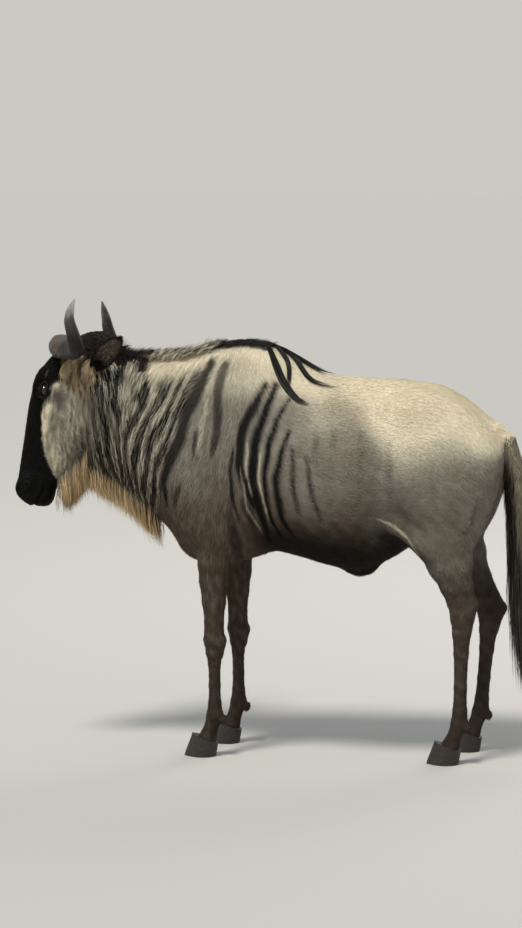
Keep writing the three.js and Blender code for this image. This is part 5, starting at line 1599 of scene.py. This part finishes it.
def crest_hair(coat, ground):
    """The crest: it stands on the neck, its roots cream in the middle, and lies back over the withers."""
    roots, n = grown(ground, "crest", crest_weight)
    x, y = roots[:, 0], roots[:, 1]
    count, rows = len(roots), 7
    tall = 1 - step_up(x, -190, -110)
    side = np.clip(y / 24, -1, 1)
    first = np.stack([0.75 - 0.4 * tall, 0.12 * side, 0.6 + 0.4 * tall], 1)
    last = np.stack([0.95 - 0.1 * tall, (0.15 + 0.3 * tall) * side, 0.12 + 0.12 * tall], 1)
    dark_tip = (rng.random(count) < 0.6)[:, None]
    fade = 1 - step_up(np.linspace(0, 1, rows)[None], 0.3, 0.7) * dark_tip
    cream = light_crest(x)[:, None] * fade
    zone = flat_zone(count, 0.94, 0, 0.04, 0.4)[:, None].repeat(rows, 1)
    zone[:, :, 0] = zone[:, :, 0] * (1 - cream)
    zone[:, :, 1] = 0.95 * cream
    length = (33 + 24 * tall) * rng.uniform(0.7, 1.2, count)
    strands(coat, roots, first, last, length, 0.8, rows, CLUMPS["crest"], 2.5, n, zone=zone, jitter=0.22)


def fall_hair(coat, ground):
    """Long hair that falls over the sides of the upper neck, black and pale by turns."""
    roots, n = grown(ground, "fall", fall_weight)
    x, z = roots[:, 0], roots[:, 2]
    drift = 1.5 * ripple(roots * (1, 1, 0.3), 120, 61)
    black = step_up(np.sin(2 * np.pi * (x - lean(x) * (z - 1000)) / 25 + drift), -0.5, 0.0)
    zone = np.clip(np.stack([0.06 + 0.9 * black, 0.55 * (1 - black), 0 * x, 0.3 + 0 * x], 1), 0, 1)
    first = 0.7 * n + np.stack([-0.2 * lean(x), 0 * x, -0.5 + 0 * x], 1)
    last = np.stack([-lean(x), 0 * x, -1.0 + 0 * x], 1)
    length = (80 + 70 * rng.random(len(roots))) * (0.6 + 0.4 * (1 - step_up(x, -400, -330)))
    strands(coat, roots, first, last, length, 0.9, 9, CLUMPS["fall"], 4.0, n, zone=zone, clear=3.0,
            jitter=0.08)


def mane(ground, material):
    coat = Coat("coat_mane", material, "mane")
    crest_hair(coat, ground)
    fall_hair(coat, ground)
    for side in BOTH:
        for stops, width, number in LONG_LOCKS:
            stops = np.array(stops, float)
            stops[:, 1] *= -side
            if side > 0:
                stops = stops + np.linspace(0, 1, len(stops))[:, None] * (14, 0, -8)
            lock_of(coat, stops, width, number, np.array([0.95, 0, 0.05, 0.4]))
    coat.finish()


def throat_beard(coat, ground):
    roots, n = grown(ground, "throat", throat_weight)
    share = np.clip((roots[:, 0] + 562) / 225, 0, 1)
    length = (104 + 14 * share) * rng.uniform(0.65, 1.08, len(roots))
    rows = 8
    zone = root_fade(flat_zone(len(roots), 0.02, 0.3, 0.72, 0.08, 0.12), rows, 0.15)
    strands(coat, roots, DOWN + 0.25 * n + (0.1, 0, 0), DOWN + (0.24, 0, 0), length, 0.85, rows,
            CLUMPS["throat"], 7.0, n, pull=0.45, zone=zone, jitter=0.16)


def chin_beard(coat, ground):
    roots, n = grown(ground, "chin", chin_weight)
    s = to_head(roots)[0]
    length = (64 + 46 * step_up(s, 290, 350)) * rng.uniform(0.72, 1.06, len(roots))
    dark = step_up(np.sin(s / 7 + 2 * ripple(roots, 40, 62)), 0.3, 1.0)
    rows = 8
    t = np.linspace(0, 1, rows)[None]
    zone = root_fade(flat_zone(len(roots), 0.0, 0.25, 0.7, 0.12, 0.1), rows, 0.3)
    zone[:, :, 0] = np.clip(0.02 + 0.4 * dark[:, None] + 0.4 * step_up(t, 0.7, 1.0), 0, 0.9)
    strands(coat, roots, DOWN + 0.3 * n, DOWN + (0.02, 0, 0), length, 0.85, rows, CLUMPS["chin"], 6.0, n,
            pull=0.5, zone=np.clip(zone, 0, 1), jitter=0.14)


def beard(ground, material):
    coat = Coat("coat_beard", material, "mane")
    throat_beard(coat, ground)
    chin_beard(coat, ground)
    coat.finish()


def poll_hair(ground, material):
    coat = Coat("coat_poll", material, "mane")
    roots, n = grown(ground, "poll", poll_weight)
    side = np.clip(to_head(roots)[1] / 40, -1, 1)
    first = HEAD_TURN @ np.array([0.95, 0, -0.2])
    last = np.stack([0.8 + 0 * side, 0.6 * side, -0.9 + 0 * side], 1)
    strands(coat, roots, first + 0.1 * n, last, 44, 0.95, 8, CLUMPS["poll"], 3.0, n, pull=0.5,
            zone=flat_zone(len(roots), 0.93, 0, 0.05, 0.4), jitter=0.12)
    coat.finish()


def ear_hair(ears, material):
    coat = Coat("coat_ears", material, "ear")
    count, rows = TUFTS["ear"], 4
    t = np.linspace(0, 1, rows)
    for ear in ears.values():
        roots = Ground(ear["points"], ear["faces"]).roots(count, lambda p: np.ones(len(p)))
        cells = nearest(roots, ear["points"][:-2])
        inside, edge, along = (ear[key].ravel()[cells] for key in ("inside", "edge", "along"))
        out = np.where(inside > 0.5, 1, -1)[:, None] * ear["open_way"]
        way = unit(ear["ahead"] + 0.12 * out + 0.25 * rng.normal(size=(count, 3)))
        length = np.where(inside > 0.5, 26, 13) * (1 - 0.4 * along) * rng.uniform(0.7, 1.2, count)
        paths = roots[:, None] + way[:, None] * (length[:, None] * t)[..., None]
        paths += out[:, None] * (2.5 * np.sin(np.pi * t * 0.6))[None, :, None]
        zone = ear_zone(inside, edge, along, rng.random(count) < 0.35)
        width = 0.7 * (1 - t ** 2)[None] * np.ones((count, 1))
        wide = unit(np.cross(way, out))
        coat.add(paths, width, wide[:, None] * np.ones((1, rows, 1)), zone, rng.random(count), roots)
    coat.finish()


def tail_hair(ground, material):
    coat = Coat("coat_tail", material, "mane")
    roots, n = grown(ground, "tail", tail_weight)
    z = roots[:, 2]
    low = 1 - step_up(z, 640, 940)
    front = step_up(-n[:, 0], -0.3, 0.5)
    length = 30 + (90 + 190 * low) * np.maximum(front, low) + 50 * low
    length = np.minimum(length, (z - TASSEL_FOOT[1]) * 0.95)
    zone = flat_zone(len(roots), 0, 0.3, 0.1, 0.45)
    zone[:, 0] = np.clip(0.3 + 0.66 * np.maximum(front, low) + 0.1 * rng.normal(size=len(roots)), 0, 1)
    down = np.array([0.05, 0, -1.0])
    strands(coat, roots, down + 0.22 * n, down - 0.02 * n, length, 1.1, 9, CLUMPS["tail"], 5.0, n, pull=0.5,
            zone=zone, jitter=0.05)
    tassel(coat, down)
    coat.finish()


def tassel(coat, down):
    """Long black hair from the end of the dock to the tail's foot."""
    count = TUFTS["tassel"]
    angle = rng.uniform(0, 2 * np.pi, count)
    level = rng.uniform(470, 640, count)
    middle = 835 - 0.06 * (level - 500)
    reach = 8 + 3 * rng.random(count)
    roots = np.stack([middle + reach * np.cos(angle), reach * np.sin(angle), level], 1)
    n = np.stack([np.cos(angle), np.sin(angle), 0 * angle], 1)
    length = (level - TASSEL_FOOT[1]) * rng.uniform(0.72, 0.94, count) / 0.95
    strands(coat, roots, down + 0.12 * n, down - 0.03 * n, length, 1.3, 10, CLUMPS["tassel"], 6.0, n,
            zone=flat_zone(count, 0.94, 0, 0, 0.4), jitter=0.04)


def lashes(material):
    coat = Coat("coat_lashes", material, "face")
    count, rows = TUFTS["lashes"], 5
    u = np.linspace(-0.9, 0.9, count)
    ds = 24 * u
    dv = 15 * np.sqrt(1 - u * u) - 0.16 * ds
    t = np.linspace(0, 1, rows)
    for side in BOTH:
        roots = from_head(EYE["s"] + ds, side * (EYE["side"] + 16), EYE["v"] + dv)
        way = from_head(0.35 * u, side * (1.0 + 0 * u), 0.5 + 0 * u) - from_head(0, 0, 0)
        way = unit(way + 0.1 * rng.normal(size=way.shape))
        length = 15 * rng.uniform(0.8, 1.2, count)
        paths = roots[:, None] + way[:, None] * (length[:, None] * t)[..., None]
        paths[:, :, 2] -= (4 * t ** 2)[None]
        width = 0.35 * (1 - t ** 2)[None] * np.ones((count, 1))
        wide = unit(np.cross(way, np.array([0, side * 1.0, 0.3])))[:, None] * np.ones((1, rows, 1))
        coat.add(paths, width, wide, flat_zone(count, 0.95), rng.random(count), roots)
    coat.finish()


# Stage, lights and camera. Half the floor's side, in metres
FLOOR_HALF = 60


def make_floor():
    mesh = bpy.data.meshes.new("ground")
    corners = [(x * FLOOR_HALF, y * FLOOR_HALF, 0) for x, y in ((-1, -1), (1, -1), (1, 1), (-1, 1))]
    mesh.from_pydata(corners, [], [(0, 1, 2, 3)])
    mesh.materials.append(Tree("floor").set(Base_Color=linear(180, 177, 170), Roughness=0.95))
    ground = bpy.data.objects.new("ground", mesh)
    bpy.context.scene.collection.objects.link(ground)


def aim(thing, place, at):
    thing.location = place
    thing.rotation_euler = (Vector(at) - Vector(place)).to_track_quat("-Z", "Y").to_euler()


def add_lamp(name, kind, power, colour):
    data = bpy.data.lights.new(name, kind)
    data.energy = power
    data.color = colour
    lamp = bpy.data.objects.new(name, data)
    bpy.context.scene.collection.objects.link(lamp)
    return lamp


def make_lights():
    """A broad key light from above the camera, and a soft one from behind."""
    key = add_lamp("key", "SUN", 3.0, (1.0, 0.975, 0.93))
    key.data.angle = 0.25
    aim(key, (0, 0, 3), Vector((0, 0, 3)) + Vector((0.22, 0.42, -0.88)))
    rim = add_lamp("rim", "AREA", 120, (1.0, 0.98, 0.95))
    rim.data.shape = "DISK"
    rim.data.size = 3.0
    aim(rim, (2.5, 4.8, 4.4), (0, 0, 0.9))


# The sky's colours at the floor's far edge and overhead
HORIZON = (0.6, 0.582, 0.535, 1)
ZENITH = (0.40, 0.45, 0.52, 1)


def make_world():
    """A soft sky whose lower edge is as bright as the floor, so that no horizon shows."""
    world = bpy.data.worlds.new("sky")
    world.use_nodes = True
    nodes, links = world.node_tree.nodes, world.node_tree.links
    split = nodes.new("ShaderNodeSeparateXYZ")
    links.new(nodes.new("ShaderNodeTexCoord").outputs["Generated"], split.inputs[0])
    rise = nodes.new("ShaderNodeMapRange")
    rise.inputs["From Min"].default_value = 0.05
    rise.inputs["From Max"].default_value = 0.6
    links.new(split.outputs["Z"], rise.inputs["Value"])
    blend = nodes.new("ShaderNodeMix")
    blend.data_type = "RGBA"
    blend.inputs[6].default_value = HORIZON
    blend.inputs[7].default_value = ZENITH
    links.new(rise.outputs[0], blend.inputs[0])
    links.new(blend.outputs[2], nodes["Background"].inputs[0])
    bpy.context.scene.world = world


# The camera: degrees round the bull, metres away and up, the height it looks at, and its lens in mm
VIEW = dict(turn=10, reach=10.0, height=2.04, aim=0.908, lens=125.15, sensor=36)


def make_camera():
    data = bpy.data.cameras.new("camera")
    data.lens = VIEW["lens"]
    data.sensor_width = VIEW["sensor"]
    camera = bpy.data.objects.new("camera", data)
    bpy.context.scene.collection.objects.link(camera)
    turn, reach = math.radians(VIEW["turn"]), VIEW["reach"]
    place = (reach * math.sin(turn) + SHIFT[0], -reach * math.cos(turn) + SHIFT[1], VIEW["height"])
    aim(camera, place, (SHIFT[0], SHIFT[1], VIEW["aim"]))
    bpy.context.scene.camera = camera


def build():
    ground, ears = make_skin(skin_material())
    fur = hair_material("fur", rough=0.7, gloss=0.08, low_tone=0.82, high_tone=1.1)
    long_hair = hair_material("long_hair", rough=0.5, gloss=0.16, low_tone=0.66, high_tone=1.14)
    horn, hoof, eye = horn_material(), hoof_material(), eye_material()
    for side in BOTH:
        make_eye(side, eye)
        make_horn(side, horn)
    for name in LEGS:
        for half in BOTH:
            make_claw(name, half, hoof)
    body_coat(ground, fur)
    neck_coat(ground, fur)
    face_coat(ground, fur)
    leg_coat(ground, fur)
    mane(ground, long_hair)
    beard(ground, long_hair)
    poll_hair(ground, long_hair)
    ear_hair(ears, fur)
    tail_hair(ground, long_hair)
    lashes(long_hair)
    make_floor()
    make_lights()
    make_world()
    make_camera()
    bpy.context.scene.view_settings.view_transform = "Standard"


build()
